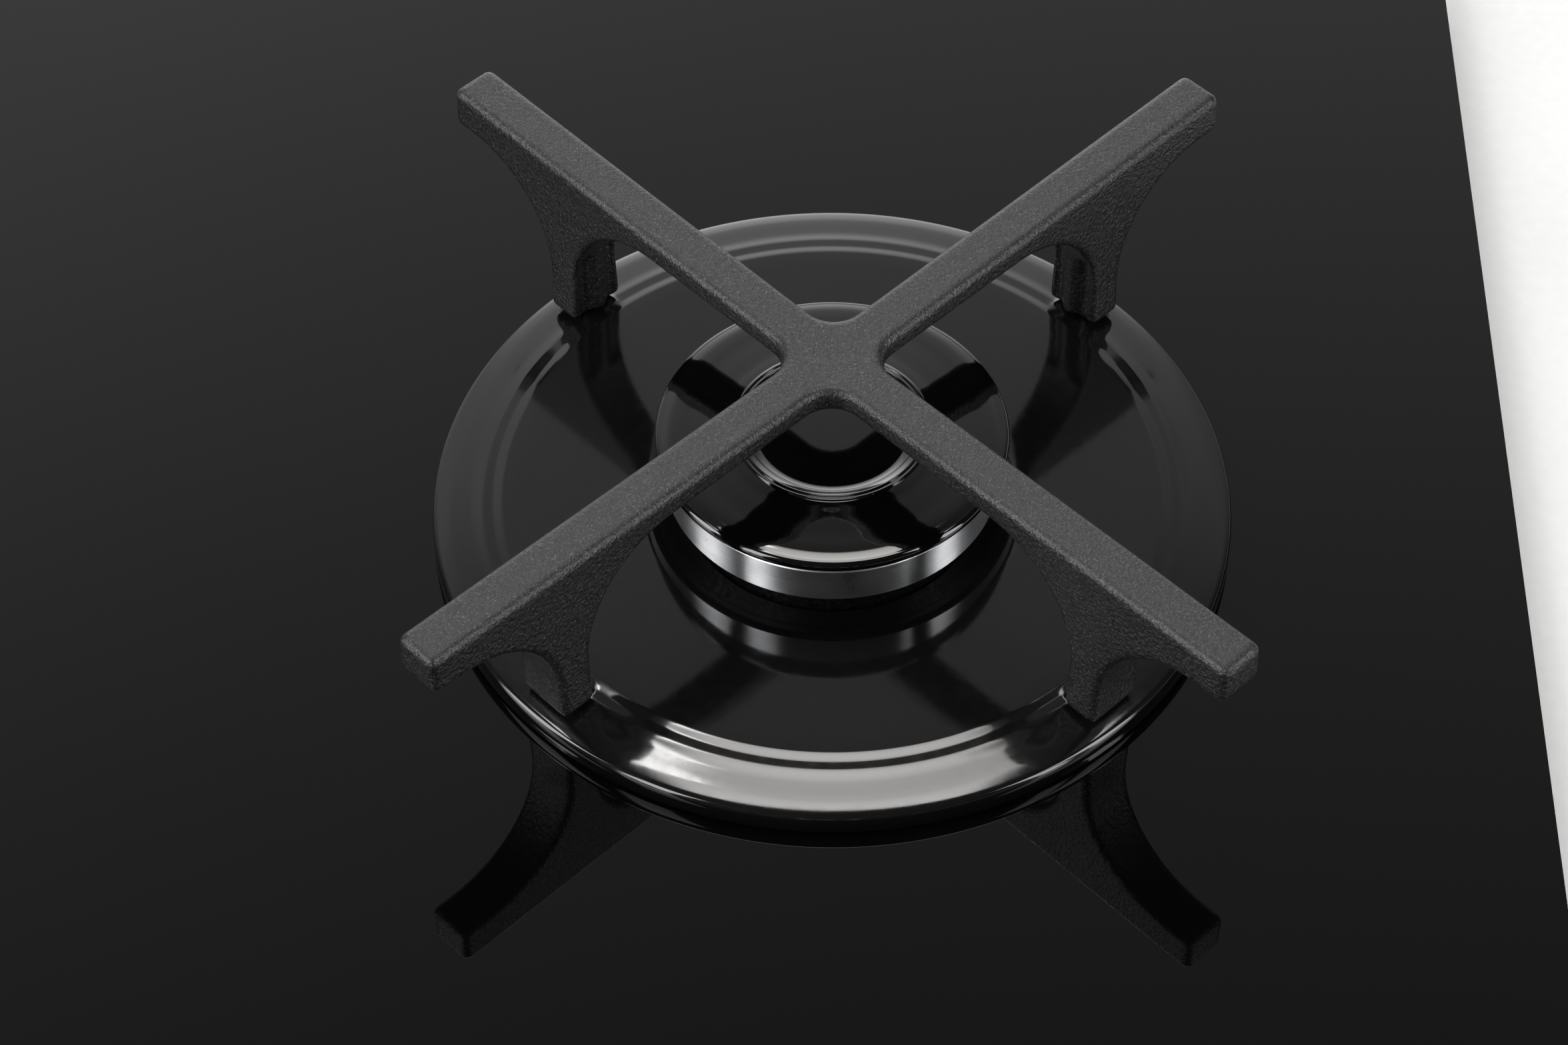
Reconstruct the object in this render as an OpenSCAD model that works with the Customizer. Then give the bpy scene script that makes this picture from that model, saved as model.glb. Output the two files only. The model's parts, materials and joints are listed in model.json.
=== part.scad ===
// Built-in four-burner gas hob on black glass, with one cast pan support over each burner.
// Millimetres. +X is to the right, +Y to the back, +Z up.
// The origin is the centre of the worktop cut-out, on the worktop's top surface.

/* [Glass] */
// Width of the glass plate
glass_w = 590; // [580:1:700]
// Depth of the glass plate, front to back
glass_d = 520; // [516:1:600]
// Thickness of the glass plate
glass_t = 6; // [5:0.5:8]
// Corner radius of the glass plate in plan
glass_corner_r = 9; // [4:1:20]
// Size of the ground bevel along the glass edge
glass_bevel = 0.7; // [0.3:0.1:1.5]
// Thickness of the pressed foam seal under the glass rim
seal_t = 2; // [1:0.5:4]
// Width of the seal strip
seal_w = 10; // [6:1:12]
// Distance from the glass edge to the seal
seal_inset = 4; // [2:1:8]

/* [Case] */
// Outside width of the case, which goes through the worktop cut-out
case_w = 552; // [540:1:556]
// Outside depth of the case
case_d = 482; // [476:1:486]
// Depth of the case below the worktop surface
case_h = 46; // [46:1:70]
// Sheet thickness of the case
case_wall = 1; // [0.7:0.1:1.5]
// Corner radius of the case in plan
case_corner_r = 6; // [3:1:12]
// Space across the pair of fixing-bracket holes, left to right
bracket_hole_x = 480; // [440:1:500]
// Space across the pair of fixing-bracket holes, front to back
bracket_hole_y = 410; // [380:1:430]
// Radius of each fixing-bracket hole
bracket_hole_r = 2.1; // [1.5:0.1:3]

/* [Burner places] */
// Distance from the middle of the hob to each burner, left or right
burner_x = 157.5; // [150:0.5:165]
// Distance from the middle of the hob back to the rear burners
rear_burner_y = 96; // [92:1:104]
// Distance from the middle of the hob forward to the front burners
front_burner_y = 140; // [134:1:143]

/* [Burner heads] */
// Radius of the rapid burner's cap, front left
rapid_cap_r = 47; // [44:0.5:50]
// Radius of the semi-rapid burners' caps, both at the rear
semi_cap_r = 35; // [32:0.5:38]
// Radius of the auxiliary burner's cap, front right
small_cap_r = 27.5; // [26:0.5:30]
// How far a cap reaches out over the crown's wall
cap_overhang = 1.6; // [1.2:0.1:2.4]
// Thickness of a cap's rounded edge
cap_edge_t = 4.2; // [3.6:0.1:5]
// How far a cap's edge hangs below the ring that the cap sits on
cap_lip_drop = 1.5; // [1:0.1:1.6]
// Height of the crown's plain outer wall
crown_h = 8.3; // [8:0.1:10]
// Height of the ported ring under the cap
port_h = 2.1; // [2:0.1:3]
// Width of one gas port
port_w = 1.6; // [1:0.1:2]
// Air gap between the pan floor and the foot of the crown
crown_gap = 6; // [5.5:0.1:7]
// Wall of the aluminium crown and cup
cast_wall = 2; // [1.6:0.1:2.4]

/* [Burner pans] */
// Outside radius of an enamelled burner pan
pan_r = 80; // [79:0.5:84]
// Sheet thickness of a pan
pan_t = 1; // [0.8:0.1:1.2]
// Height of a pan's floor above the glass
pan_h = 7; // [6.5:0.1:8]
// How much lower a pan lies round its crown
pan_dip = 2; // [1.5:0.1:2.5]
// Gap between a pan's lower lip and the glass
pan_lip_gap = 0.6; // [0.4:0.1:1]
// Width of the gasket ring that carries a pan on the glass
gasket_w = 3.4; // [2.5:0.1:3.8]

/* [Pan supports] */
// Distance from the burner's axis to the end of an arm
arm_len = 105.7; // [100:0.1:108]
// Height of an arm's tip above the glass
arm_top = 47.9; // [47:0.1:55]
// How much lower the middle of the cross is than the tips
hub_dip = 1.75; // [0.5:0.05:2]
// Width of an arm across its top
arm_w = 9.9; // [8:0.1:12]
// Width of a leg at its foot
foot_w = 13; // [12:0.1:14]
// Depth of the cross below its top, at the middle
arm_depth = 5.2; // [4.6:0.1:5.6]
// Depth of an arm's free end
tip_depth = 9.2; // [8:0.1:11]
// Radius of the fillet between two arms, in plan
hub_fillet_r = 6.5; // [5:0.1:9]
// Distance from the axis to the inner face of a leg
leg_in = 69.3; // [68.5:0.1:70]
// Distance from the axis to the outer face of a leg
leg_out = 77.3; // [76.5:0.1:77.6]
// Radius of the sweep between a leg and the arm above it
sweep_r = 22.5; // [18:0.1:24]

/* [Controls] */
// Distance from the middle line to a knob's axis
knob_x = 32; // [31:0.5:34]
// Distance from the middle of the hob forward to the rear pair of knobs
knob_y = 160; // [156:1:163]
// Spacing of the knobs from front to back
knob_pitch = 60; // [56:1:62]
// Radius of a knob's skirt
knob_r = 19.5; // [17:0.5:21]
// Height of a knob
knob_h = 21; // [18:0.5:26]
// How far a knob is pressed in before it turns
knob_travel = 4; // [3:0.25:4.5]
// Radius of a tap's turning plug
plug_r = 7; // [6.5:0.25:7.5]
// Width of a tap's square body
tap_w = 22; // [20:0.5:24]

/* [Gas train] */
// Side of the square gas manifold
manifold_w = 18; // [16:0.5:20]
// Radius of the manifold's bore
manifold_bore_r = 5; // [3.5:0.5:6]
// Outside radius of a burner's gas pipe
pipe_r = 3; // [2.5:0.25:3.5]
// Wall of a gas pipe
pipe_wall = 0.8; // [0.5:0.1:1]
// Centre-line radius of a pipe bend
pipe_bend_r = 14; // [10:1:16]
// Radius of the inlet's outside thread, G 1/2
inlet_r = 10.48; // [8:0.01:11]
// Depth of the gas train's centre line below the worktop surface
gas_depth = 22; // [21:0.5:23]

/* [Hidden] */
$fn = 96;
fine = 32;
hex = 6;
// Clearances between pieces
slip = 0.3;
running = 0.05;
thread_play = 0.05;
easy = 0.5;
over = 1;

// Levels, measured from the worktop surface
z_glass_low = seal_t;
z_glass = seal_t + glass_t;
z_floor = -case_h;
z_floor_top = z_floor + case_wall;
z_gas = -gas_depth;
z_pan = z_glass + pan_h;
z_pan_low = z_pan - pan_t;
z_dip = z_pan - pan_dip;
z_dip_low = z_dip - pan_t;
z_crown = z_pan + crown_gap;
z_crown_top = z_crown + crown_h;
z_cap = z_crown_top + port_h;

// Burners: name, side, front-to-back place, cap radius, tap place, pipe lane
rear_lane_x = 78;
front_lane_x = 100;
BURNERS = [
    ["rear_right", 1, rear_burner_y, semi_cap_r, -knob_y, rear_lane_x],
    ["rear_left", -1, rear_burner_y, semi_cap_r, -knob_y, rear_lane_x],
    ["front_left", -1, -front_burner_y, rapid_cap_r, -knob_y - knob_pitch, front_lane_x],
    ["front_right", 1, -front_burner_y, small_cap_r, -knob_y - knob_pitch, front_lane_x]
];
function b_name(b) = b[0];
function b_side(b) = b[1];
function b_at(b) = [b[1] * burner_x, b[2], 0];
function b_cap_r(b) = b[3];
function b_crown_r(b) = b[3] - cap_overhang;
function b_tap(b) = [b[1] * knob_x, b[4], 0];
function b_lane(b) = b[5];

// Rim of a pan, as shares of its radius and of its floor's height above the glass
pan_rim_shares = [
    [0.81, 1], [0.827, 0.997], [0.835, 0.988], [0.845, 0.972], [0.854, 0.96],
    [0.865, 0.953], [0.874, 0.94], [0.888, 0.917], [0.912, 0.885], [0.938, 0.852], [0.955, 0.82],
    [0.968, 0.785], [0.978, 0.745], [0.988, 0.68], [0.995, 0.6], [1, 0.5]
];
// Dip round the crown: shares of the gap from the crown to the probes, and of the dip's depth
pan_dip_shares = [[-0.17, 0], [0.13, 0.25], [0.37, 0.62], [0.6, 0.86], [0.87, 0.975], [1.08, 1]];
seat_margin = 1.2;

// Burner cup, crown and cap details
skirt_to_cup = 2.2;
cup_rim_drop = 0.5;
cup_flange_t = 1.5;
cup_depth = 4;
cup_floor_t = 2.5;
venturi_r = 5;
venturi_wall = 1.5;
venturi_depth = 6;
mix_gap = 1;
mix_wall = 2;
gallery_drop = 6;
nose_z = z_gas - gallery_drop;
gallery_r = 2.2;
block_h = 12;
boss_r = 6;
boss_len = 24;
socket_len = 8;
spigot_depth = 5;
window_share = 0.6;
window_h = 4;
window_count = 6;
port_in_gap = 5.6;
port_out_gap = 3.2;
port_spacing = 5;
cap_spigot_depth = 1.5;
cap_spigot_wall = 1.6;
crown_edge = 0.4;
dish_share = 0.515;
bead_r = 0.5;
dish_floor_share = 0.6;
// Cap top between the bead and the edge: shares of that width, and of the edge thickness
cap_top_shares = [[0.04, 0.86], [0.25, 0.84], [0.5, 0.83], [0.7, 0.86], [0.86, 0.94]];

// Spark plugs and thermocouples
probe_gap = 6;
probe_angle = 23;
probe_hole_r = 3.4;
spark_r = 2.5;
spark_tip_r = 0.9;
spark_tip_h = 3.5;
spark_top = 17;
spark_tail = 12;
probe_r = 2;
probe_top = 15;
collar_r = 3.7;
collar_h = 4;
blade_t = 0.8;
blade_w = 4.8;
blade_h = 8;
ear_t = 5;
ear_w = 9.6;
ear_gap = 0.4;
burner_hole_gap = 12.5;

// Burner brackets
plate_t = 1.2;
bracket_rim = 9;
bracket_leg_w = 30;
bracket_foot = 14;
bracket_pass_r = 5;

// Screws
screw_r = 1.9;
screw_hole_r = 2.2;
screw_head_r = 3.2;
screw_head_h = 2.2;
screw_drive_r = 1.4;
screw_drive_h = 1.2;
screw_count = 3;
screw_boss_r = 4;
screw_tip = 2;

// Tap parts
tap_top = -6;
tap_floor = 2;
tap_low_gap = 10;
tap_port_r = 2.2;
nipple_r = 5;
nut_r = 7.5;
nut_len = 9;
outlet_len = 15;
spring_seat = 5;
spring_r = 5.2;
spring_in_r = 3.5;
spindle_r = 3;
spindle_in = 3.2;
collar_disc_r = 5.3;
collar_disc_t = 1.2;
tap_plate_w = 100;
tap_plate_d = 92;
tap_plate_hole_r = 6.5;
tap_leg_w = 30;

// Knob parts
knob_foot_gap = 1;
knob_gap = knob_travel + knob_foot_gap;
knob_skirt_h = 4.5;
knob_skirt_edge = 1;
knob_grip_r_share = 0.78;
knob_wall = 2;
knob_boss_r = 6;
knob_boss_lift = 1.5;
knob_edge = 1.4;
flute_count = 12;
flute_r = 3.2;
flute_bite = 0.9;
pointer_w = 1.6;
pointer_rise = 0.5;
grommet_hole_r = 7;
grommet_flange_r = 9;
grommet_flange_t = 1.1;

// Gas inlet niche in the case
niche_w = 64;
niche_d = 60;
niche_h = 38;
inlet_y = 214;
elbow_w = 26;
elbow_h = 18;
thread_end_gap = 1;
manifold_front = 235;
manifold_end_wall = 4;

// Electrics
module_size = [48, 70, 28];
module_at = [16, -2];
module_rib_t = 2;
module_post_r = 1.6;
module_post_h = 5;
terminal_size = [50, 28, 24];
terminal_x = -110;
terminal_gap = 4;
terminal_way_w = 6;
terminal_way_gap = 3;
mains_hole_r = 8;

// Case vents
vent_count = 9;
vent_w = 4;
vent_len = 46;
vent_pitch = 12;
vent_at = [0, 60];

// Points along an arc about c, from angle a0 to a1
function arc(c, r, a0, a1, n) =
    [for (i = [0:n]) c + r * [cos(a0 + (a1 - a0) * i / n), sin(a0 + (a1 - a0) * i / n)]];

module tube(r_in, r_out, z0, z1) {
    translate([0, 0, z0])
        difference() {
            cylinder(r = r_out, h = z1 - z0);
            translate([0, 0, -over]) cylinder(r = r_in, h = z1 - z0 + 2 * over);
        }
}

module rod(r, z0, z1) {
    translate([0, 0, z0]) cylinder(r = r, h = z1 - z0);
}

// A block between two opposite corners
module block(low, high) {
    translate(low) cube(high - low);
}

// A flat plate with rounded corners, centred on the origin in plan
module round_plate(w, d, r, z0, z1) {
    translate([0, 0, z0])
        linear_extrude(z1 - z0)
            union() {
                square([w - 2 * r, d], center = true);
                square([w, d - 2 * r], center = true);
                for (x = [-1, 1], y = [-1, 1])
                    translate([x * (w / 2 - r), y * (d / 2 - r)]) circle(r = r);
            }
}

// Radii that depend on the size of the burner
function cup_out(cr) = cr - cast_wall - skirt_to_cup;
function cup_in(cr) = cup_out(cr) - cast_wall;
function spigot_out(cr) = cup_in(cr) - slip;
function mix_in() = venturi_r + venturi_wall + mix_gap;
function mix_out() = mix_in() + mix_wall;
function screw_place(cr) = (mix_out() + cup_in(cr)) / 2;
function probe_place(cr) = cr + probe_gap;
function burner_hole_r(cr) = cr + burner_hole_gap;
function bracket_half(cr) = burner_hole_r(cr) + bracket_rim;
function port_in(cr) = cr - port_in_gap;
function port_out(cr) = cr - port_out_gap;
function screw_angles(side) = [for (i = [0:screw_count - 1]) (side > 0 ? 0 : 180) + i * 360 / screw_count];
probe_angles = [90 - probe_angle, 90 + probe_angle];
z_cup_rim = z_crown - cup_rim_drop;
z_cup_low = z_glass - cup_depth;
z_ear_low = z_glass - ear_t;
z_plate = z_glass_low - plate_t;

module pan_support(b) {
    slope = atan(hub_dip / arm_len);
    z_low = z_pan;
    z_tip = z_glass + arm_top;
    z_hub = z_tip - hub_dip;
    z_under = z_hub - arm_depth;
    sweep_in = [leg_in - sweep_r, z_under - sweep_r];
    sweep_out = [leg_out + sweep_r, z_tip - tip_depth - sweep_r];
    toe = (foot_w - arm_w) / 2;
    edge_r = arm_w * edge_share;
    color("#2b2b2d")
        translate(b_at(b))
            union() {
                for (a = [45:90:315])
                    rotate([0, 0, a])
                        intersection() {
                            arm_side(z_low, z_tip, z_hub, z_under, sweep_in, sweep_out, toe);
                            arm_section(z_low, z_hub, slope, edge_r);
                        }
                for (a = [45:90:315])
                    rotate([0, 0, a]) leg_rib(z_low + toe, sweep_in[1] + toe * 3);
                hub(z_under, z_hub);
            }
}

// Side view of one arm and its leg, given the arm's full foot width
module arm_side(z_low, z_tip, z_hub, z_under, sweep_in, sweep_out, toe) {
    rotate([90, 0, 0])
        linear_extrude(foot_w + 2 * over, center = true)
            polygon(concat(
                [[0, z_hub], [arm_len, z_tip], [arm_len, z_tip - tip_depth + toe],
                 [arm_len - toe, z_tip - tip_depth]],
                arc(sweep_out, sweep_r, 90, 180, sweep_steps),
                [[leg_out, z_low + toe], [leg_out - toe, z_low],
                 [leg_in + toe, z_low], [leg_in, z_low + toe]],
                arc(sweep_in, sweep_r, 0, 90, sweep_steps),
                [[0, z_under]]
            ));
}
edge_share = 0.2;
sweep_steps = 9;
edge_steps = 5;

// Section across an arm: rounded along the top edges, wider towards the foot
module arm_section(z_low, z_hub, slope, edge_r) {
    half = arm_w / 2;
    foot_half = foot_w / 2;
    rise = z_hub - z_low;
    translate([0, 0, z_hub])
        rotate([0, -slope, 0])
            rotate([90, 0, 90])
                translate([0, 0, -over])
                    linear_extrude(arm_len * 2)
                        polygon(concat(
                            arc([half - edge_r, -edge_r], edge_r, 0, 90, edge_steps),
                            arc([edge_r - half, -edge_r], edge_r, 90, 180, edge_steps),
                            [[-foot_half, -rise - over], [-foot_half, -rise * 2],
                             [foot_half, -rise * 2], [foot_half, -rise - over]]
                        ));
}

// Raised rib down the inner face of a leg
module leg_rib(z0, z1) {
    rib_r = foot_w * rib_share;
    translate([leg_in + rib_r * rib_sink_share, 0, 0]) rod(rib_r, z0, z1);
}
rib_share = 0.17;
rib_sink_share = 0.45;

// Middle of the cross, with a round fillet between each two arms
module hub(z_under, z_hub) {
    half = arm_w / 2;
    reach = half + hub_fillet_r;
    translate([0, 0, z_under])
        rotate([0, 0, 45])
            linear_extrude(z_hub - z_under)
                difference() {
                    square(2 * reach, center = true);
                    for (x = [-1, 1], y = [-1, 1])
                        translate([x * reach, y * reach]) circle(r = hub_fillet_r);
                }
}

module drip_pan(b) {
    cr = b_crown_r(b);
    lip = z_glass + pan_lip_gap;
    hole = cup_out(cr) + easy;
    dip = [for (s = pan_dip_shares) [cr + s[0] * probe_gap, z_dip + s[1] * pan_dip]];
    rim = [for (s = pan_rim_shares) [s[0] * pan_r, z_glass + s[1] * pan_h]];
    low_dip = [for (i = [len(dip) - 1:-1:0]) dip[i] - [0, pan_t]];
    low_rim = [for (i = [len(rim) - 1:-1:0]) [min(rim[i][0], pan_r - pan_t), rim[i][1] - pan_t]];
    color("#141416")
        translate(b_at(b))
            difference() {
                union() {
                    rotate_extrude()
                        polygon(concat(
                            [[hole, z_dip_low], [hole, z_dip]], dip, rim,
                            [[pan_r, lip], [pan_r - pan_t, lip]], low_rim, low_dip
                        ));
                    intersection() {
                        rotate_extrude()
                            polygon(concat([[rim[0][0], z_pan], [pan_r - pan_t, z_pan]], low_rim));
                        for (a = [45:90:315]) rotate([0, 0, a]) pan_seat(rim[0][0]);
                    }
                }
                for (a = probe_angles)
                    rotate([0, 0, a])
                        translate([probe_place(cr), 0, 0]) rod(probe_hole_r, z_glass, z_pan + over);
            }
}

// Flat seat, level with the pan's floor, that a foot of the pan support stands on
module pan_seat(seat_in) {
    half = foot_w / 2 + seat_margin;
    block([seat_in, -half, z_glass], [leg_out + seat_margin, half, z_pan]);
}

module burner_cap(b) {
    r = b_cap_r(b);
    cr = b_crown_r(b);
    nose_r = cap_edge_t / 2;
    ring = r * dish_share;
    bead_z = cap_edge_t * cap_top_shares[0][1] - bead_r / 2;
    span = r - nose_r - ring;
    dish_z = cap_edge_t * dish_floor_share;
    spigot = port_in(cr) - slip;
    lip_in = asin(1 - cap_lip_drop / nose_r);
    color("#0d0d0f")
        translate(b_at(b) + [0, 0, z_cap - cap_lip_drop])
            union() {
                rotate_extrude()
                    polygon(concat(
                        [[0, cap_lip_drop]],
                        arc([r - nose_r, nose_r], nose_r, lip_in - 180, 90, cap_steps),
                        [for (i = [len(cap_top_shares) - 1:-1:0])
                            [ring + cap_top_shares[i][0] * span, cap_top_shares[i][1] * cap_edge_t]],
                        arc([ring - bead_r, bead_z], bead_r, 30, 180, bead_steps),
                        arc([ring - 3 * bead_r, bead_z], bead_r, 20, 180, bead_steps),
                        arc([ring - 4 * bead_r - dish_r(), dish_z + dish_r()], dish_r(), -40, -88,
                            bead_steps),
                        [[0, dish_z]]
                    ));
                tube(spigot - cap_spigot_wall, spigot, cap_lip_drop - cap_spigot_depth, cap_lip_drop + bead_r);
            }
}
function dish_r() = cap_edge_t * dish_fillet_share;
dish_fillet_share = 0.55;
cap_steps = 10;
bead_steps = 4;

module burner_crown(b) {
    cr = b_crown_r(b);
    ports = round(2 * PI * port_out(cr) / port_spacing);
    z_plate_low = z_crown_top - cast_wall;
    color("#b9bcc0")
        translate(b_at(b))
            difference() {
                union() {
                    crown_wall(cr);
                    tube(venturi_r, cr - cast_wall / 2, z_plate_low, z_crown_top);
                    tube(port_in(cr), port_out(cr), z_crown_top - cast_wall / 2, z_cap);
                    tube(venturi_r, venturi_r + venturi_wall, z_glass - venturi_depth, z_crown_top);
                    tube(spigot_out(cr) - cast_wall, spigot_out(cr), z_cup_rim - spigot_depth,
                         z_crown_top - cast_wall / 2);
                    tube(spigot_out(cr) - cast_wall / 2, cup_out(cr), z_cup_rim,
                         z_crown_top - cast_wall / 2);
                }
                for (i = [0:ports - 1])
                    rotate([0, 0, i * 360 / ports])
                        block([port_in(cr) - over, -port_w / 2, z_cap - port_h * port_deep_share],
                              [port_out(cr) + over, port_w / 2, z_cap + over]);
                for (i = [0:window_count - 1])
                    rotate([0, 0, i * 360 / window_count]) air_window(cr);
            }
}
port_deep_share = 0.7;

// Outer wall of the crown, with its turned top edge broken
module crown_wall(cr) {
    rotate_extrude()
        polygon([
            [cr - cast_wall, z_crown], [cr, z_crown], [cr, z_crown_top - crown_edge],
            [cr - crown_edge, z_crown_top], [cr - cast_wall, z_crown_top]
        ]);
}

// Opening through the crown's lower ring, where the air comes in
module air_window(cr) {
    half = PI * cup_out(cr) * window_share / window_count;
    block([spigot_out(cr) - cast_wall - over, -half, z_cup_rim - over],
          [cup_out(cr) + skirt_to_cup / 2, half, z_cup_rim + window_h]);
}

module burner_cup(b) {
    cr = b_crown_r(b);
    side = b_side(b);
    z_block = nose_z + block_h;
    color("#8f9296")
        translate(b_at(b))
            difference() {
                union() {
                    tube(cup_in(cr), cup_out(cr), z_cup_low, z_cup_rim);
                    tube(cup_out(cr) - cast_wall / 2, cr - cast_wall, z_dip_low - cup_flange_t, z_dip_low);
                    tube(mix_in(), cup_out(cr) - cast_wall / 2, z_cup_low, z_cup_low + cup_floor_t);
                    rod(mix_out(), nose_z, z_cup_low + cup_floor_t);
                    gas_boss(side);
                    for (a = screw_angles(side))
                        rotate([0, 0, a])
                            translate([screw_place(cr), 0, 0])
                                rod(screw_boss_r, z_glass_low, z_cup_low + cup_floor_t / 2);
                    for (a = probe_angles) rotate([0, 0, a]) cup_ear(cr);
                }
                rod(mix_in(), z_block, z_cup_rim);
                for (a = screw_angles(side))
                    rotate([0, 0, a])
                        translate([screw_place(cr), 0, 0]) rod(screw_hole_r, z_glass_low - over, z_cup_rim);
                for (a = probe_angles)
                    rotate([0, 0, a])
                        translate([probe_place(cr), 0, 0])
                            rod(spark_r + 2 * running, z_ear_low - over, z_pan_low);
                rod(gallery_r, z_gas, z_block + over);
                rod(injector_thread_r + thread_play, z_block - injector_thread_h, z_block + over);
                gas_way(side);
            }
}
injector_thread_r = 3;
injector_thread_h = 5;

// Side boss that takes the gas pipe, on the side of the hob's middle
module gas_boss(side) {
    translate([0, 0, z_gas])
        rotate([0, -90 * side, 0]) rod(boss_r, 0, boss_len);
}

module gas_way(side) {
    translate([0, 0, z_gas])
        rotate([0, -90 * side, 0]) {
            rod(gallery_r, 0, boss_len);
            rod(pipe_r + 2 * running, boss_len - socket_len, boss_len + over);
        }
}

// Ear of the cup that holds a spark plug or a thermocouple
module cup_ear(cr) {
    z_top = z_dip_low - ear_gap;
    block([cup_in(cr) + cast_wall / 2, -ear_w / 2, z_ear_low], [probe_place(cr), ear_w / 2, z_top]);
    translate([probe_place(cr), 0, 0]) rod(ear_w / 2, z_ear_low, z_top);
}

module knob(b) {
    z0 = z_glass + knob_gap;
    grip_r = knob_r * knob_grip_r_share;
    core_r = grip_r - flute_bite;
    grip_top = knob_h - knob_edge;
    color("#1b1b1d")
        translate(b_tap(b) + [0, 0, z0])
            difference() {
                union() {
                    rotate_extrude()
                        polygon([
                            [0, 0], [knob_r, 0], [knob_r, knob_skirt_h - knob_skirt_edge],
                            [knob_r - knob_skirt_edge, knob_skirt_h], [0, knob_skirt_h]
                        ]);
                    translate([0, 0, knob_skirt_h])
                        linear_extrude(grip_top - knob_skirt_h)
                            difference() {
                                circle(r = grip_r);
                                for (i = [0:flute_count - 1])
                                    rotate([0, 0, (i + 1 / 2) * 360 / flute_count])
                                        translate([core_r + flute_r, 0]) circle(r = flute_r);
                            }
                    rotate_extrude()
                        polygon([
                            [0, knob_skirt_h], [core_r - slip, knob_skirt_h], [core_r - slip, grip_top],
                            [core_r - knob_edge, knob_h], [0, knob_h]
                        ]);
                    block([-pointer_w / 2, core_r * pointer_start_share, grip_top - pointer_rise],
                          [pointer_w / 2, core_r + flute_bite / 2, knob_h + pointer_rise]);
                }
                rod(knob_r - knob_wall, -over, knob_boss_lift);
                rotate_extrude()
                    polygon([
                        [knob_boss_r, 0], [knob_r - knob_wall, 0], [knob_r - knob_wall, knob_skirt_h / 2],
                        [core_r - knob_wall, knob_skirt_h], [core_r - knob_wall, knob_h - knob_wall],
                        [knob_boss_r, knob_h - knob_wall]
                    ]);
                rod(spindle_r + running, -over, knob_bore_h());
            }
}
pointer_start_share = 0.35;
function knob_bore_h() = knob_h * knob_bore_share;
knob_bore_share = 0.72;

// Levels inside a tap
z_tap_low = z_gas - tap_low_gap;
z_tap_plug_top = tap_top - slip;
z_spring = z_tap_plug_top - spring_seat;
z_collar = z_glass_low - grommet_flange_t - running - collar_disc_t;
z_spindle = z_spring - spindle_in;
z_drive = z_spindle - knob_travel - easy;

module tap_body(b) {
    side = b_side(b);
    half = tap_w / 2;
    reach_in = knob_x - manifold_w / 2;
    color("#c9a24a")
        translate(b_tap(b))
            difference() {
                union() {
                    block([-half, -half, z_tap_low], [half, half, tap_top]);
                    translate([0, 0, z_gas])
                        rotate([0, 90 * side, 0]) {
                            rod(nipple_r, -reach_in, 0);
                            rod(nipple_r, 0, half + outlet_len);
                            translate([0, 0, half + outlet_len - nut_len - over])
                                cylinder(r = nut_r, h = nut_len, $fn = hex);
                        }
                }
                rod(plug_r + running, z_tap_low + tap_floor, tap_top + over);
                for (p = tap_screw_places())
                    translate(p) rod(screw_r + thread_play, tap_top - screw_len(), tap_top + over);
                translate([0, 0, z_gas])
                    rotate([0, 90 * side, 0]) {
                        rod(tap_port_r, -reach_in - over, half + outlet_len);
                        rod(pipe_r + 2 * running, half + outlet_len - socket_len, half + outlet_len + over);
                    }
            }
}

module tap_plug(b) {
    color("#b98f3c")
        translate(b_tap(b))
            difference() {
                rod(plug_r, z_tap_low + tap_floor + slip, z_tap_plug_top);
                rod(spring_r + slip, z_spring, z_tap_plug_top + over);
                rod(spindle_r + running, z_drive, z_spring + over);
                translate([0, -plug_r - over, z_gas])
                    rotate([-90, 0, 0]) rod(tap_port_r, 0, 2 * (plug_r + over));
            }
}

module tap_spindle(b) {
    color("#9a9ca0")
        translate(b_tap(b)) {
            rod(spindle_r, z_spindle, z_glass + knob_gap + knob_bore_h() - slip);
            rod(collar_disc_r, z_collar, z_collar + collar_disc_t);
        }
}

module tap_spring(b) {
    color("#c4c6c8")
        translate(b_tap(b)) tube(spring_in_r, spring_r, z_spring, z_collar);
}

// Run of pipe from a tap to its burner, about the pipe's own centre line
module pipe_run(b, r, extra) {
    x0 = knob_x + tap_w / 2 + outlet_len - socket_len;
    x1 = b_lane(b);
    x2 = burner_x - boss_len + socket_len;
    y0 = b_tap(b)[1];
    y1 = b_at(b)[1];
    bend = pipe_bend_r;
    translate([x0 - extra, y0, 0]) rotate([0, 90, 0]) rod(r, 0, x1 - bend - x0 + extra);
    translate([x1 - bend, y0 + bend, 0]) rotate([0, 0, -90]) quarter(r, bend);
    translate([x1, y0 + bend, 0]) rotate([-90, 0, 0]) rod(r, 0, y1 - y0 - 2 * bend);
    translate([x1 + bend, y1 - bend, 0]) rotate([0, 0, 90]) quarter(r, bend);
    translate([x1 + bend, y1, 0]) rotate([0, 90, 0]) rod(r, 0, x2 - x1 - bend + extra);
}

module quarter(r, bend) {
    rotate_extrude(angle = 90) translate([bend, 0]) circle(r = r, $fn = fine);
}

module gas_pipe(b) {
    color("#a9adb0")
        translate([0, 0, z_gas])
            mirror([b_side(b) < 0 ? 1 : 0, 0, 0])
                difference() {
                    pipe_run(b, pipe_r, 0);
                    pipe_run(b, pipe_r - pipe_wall, over);
                }
}

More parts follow.
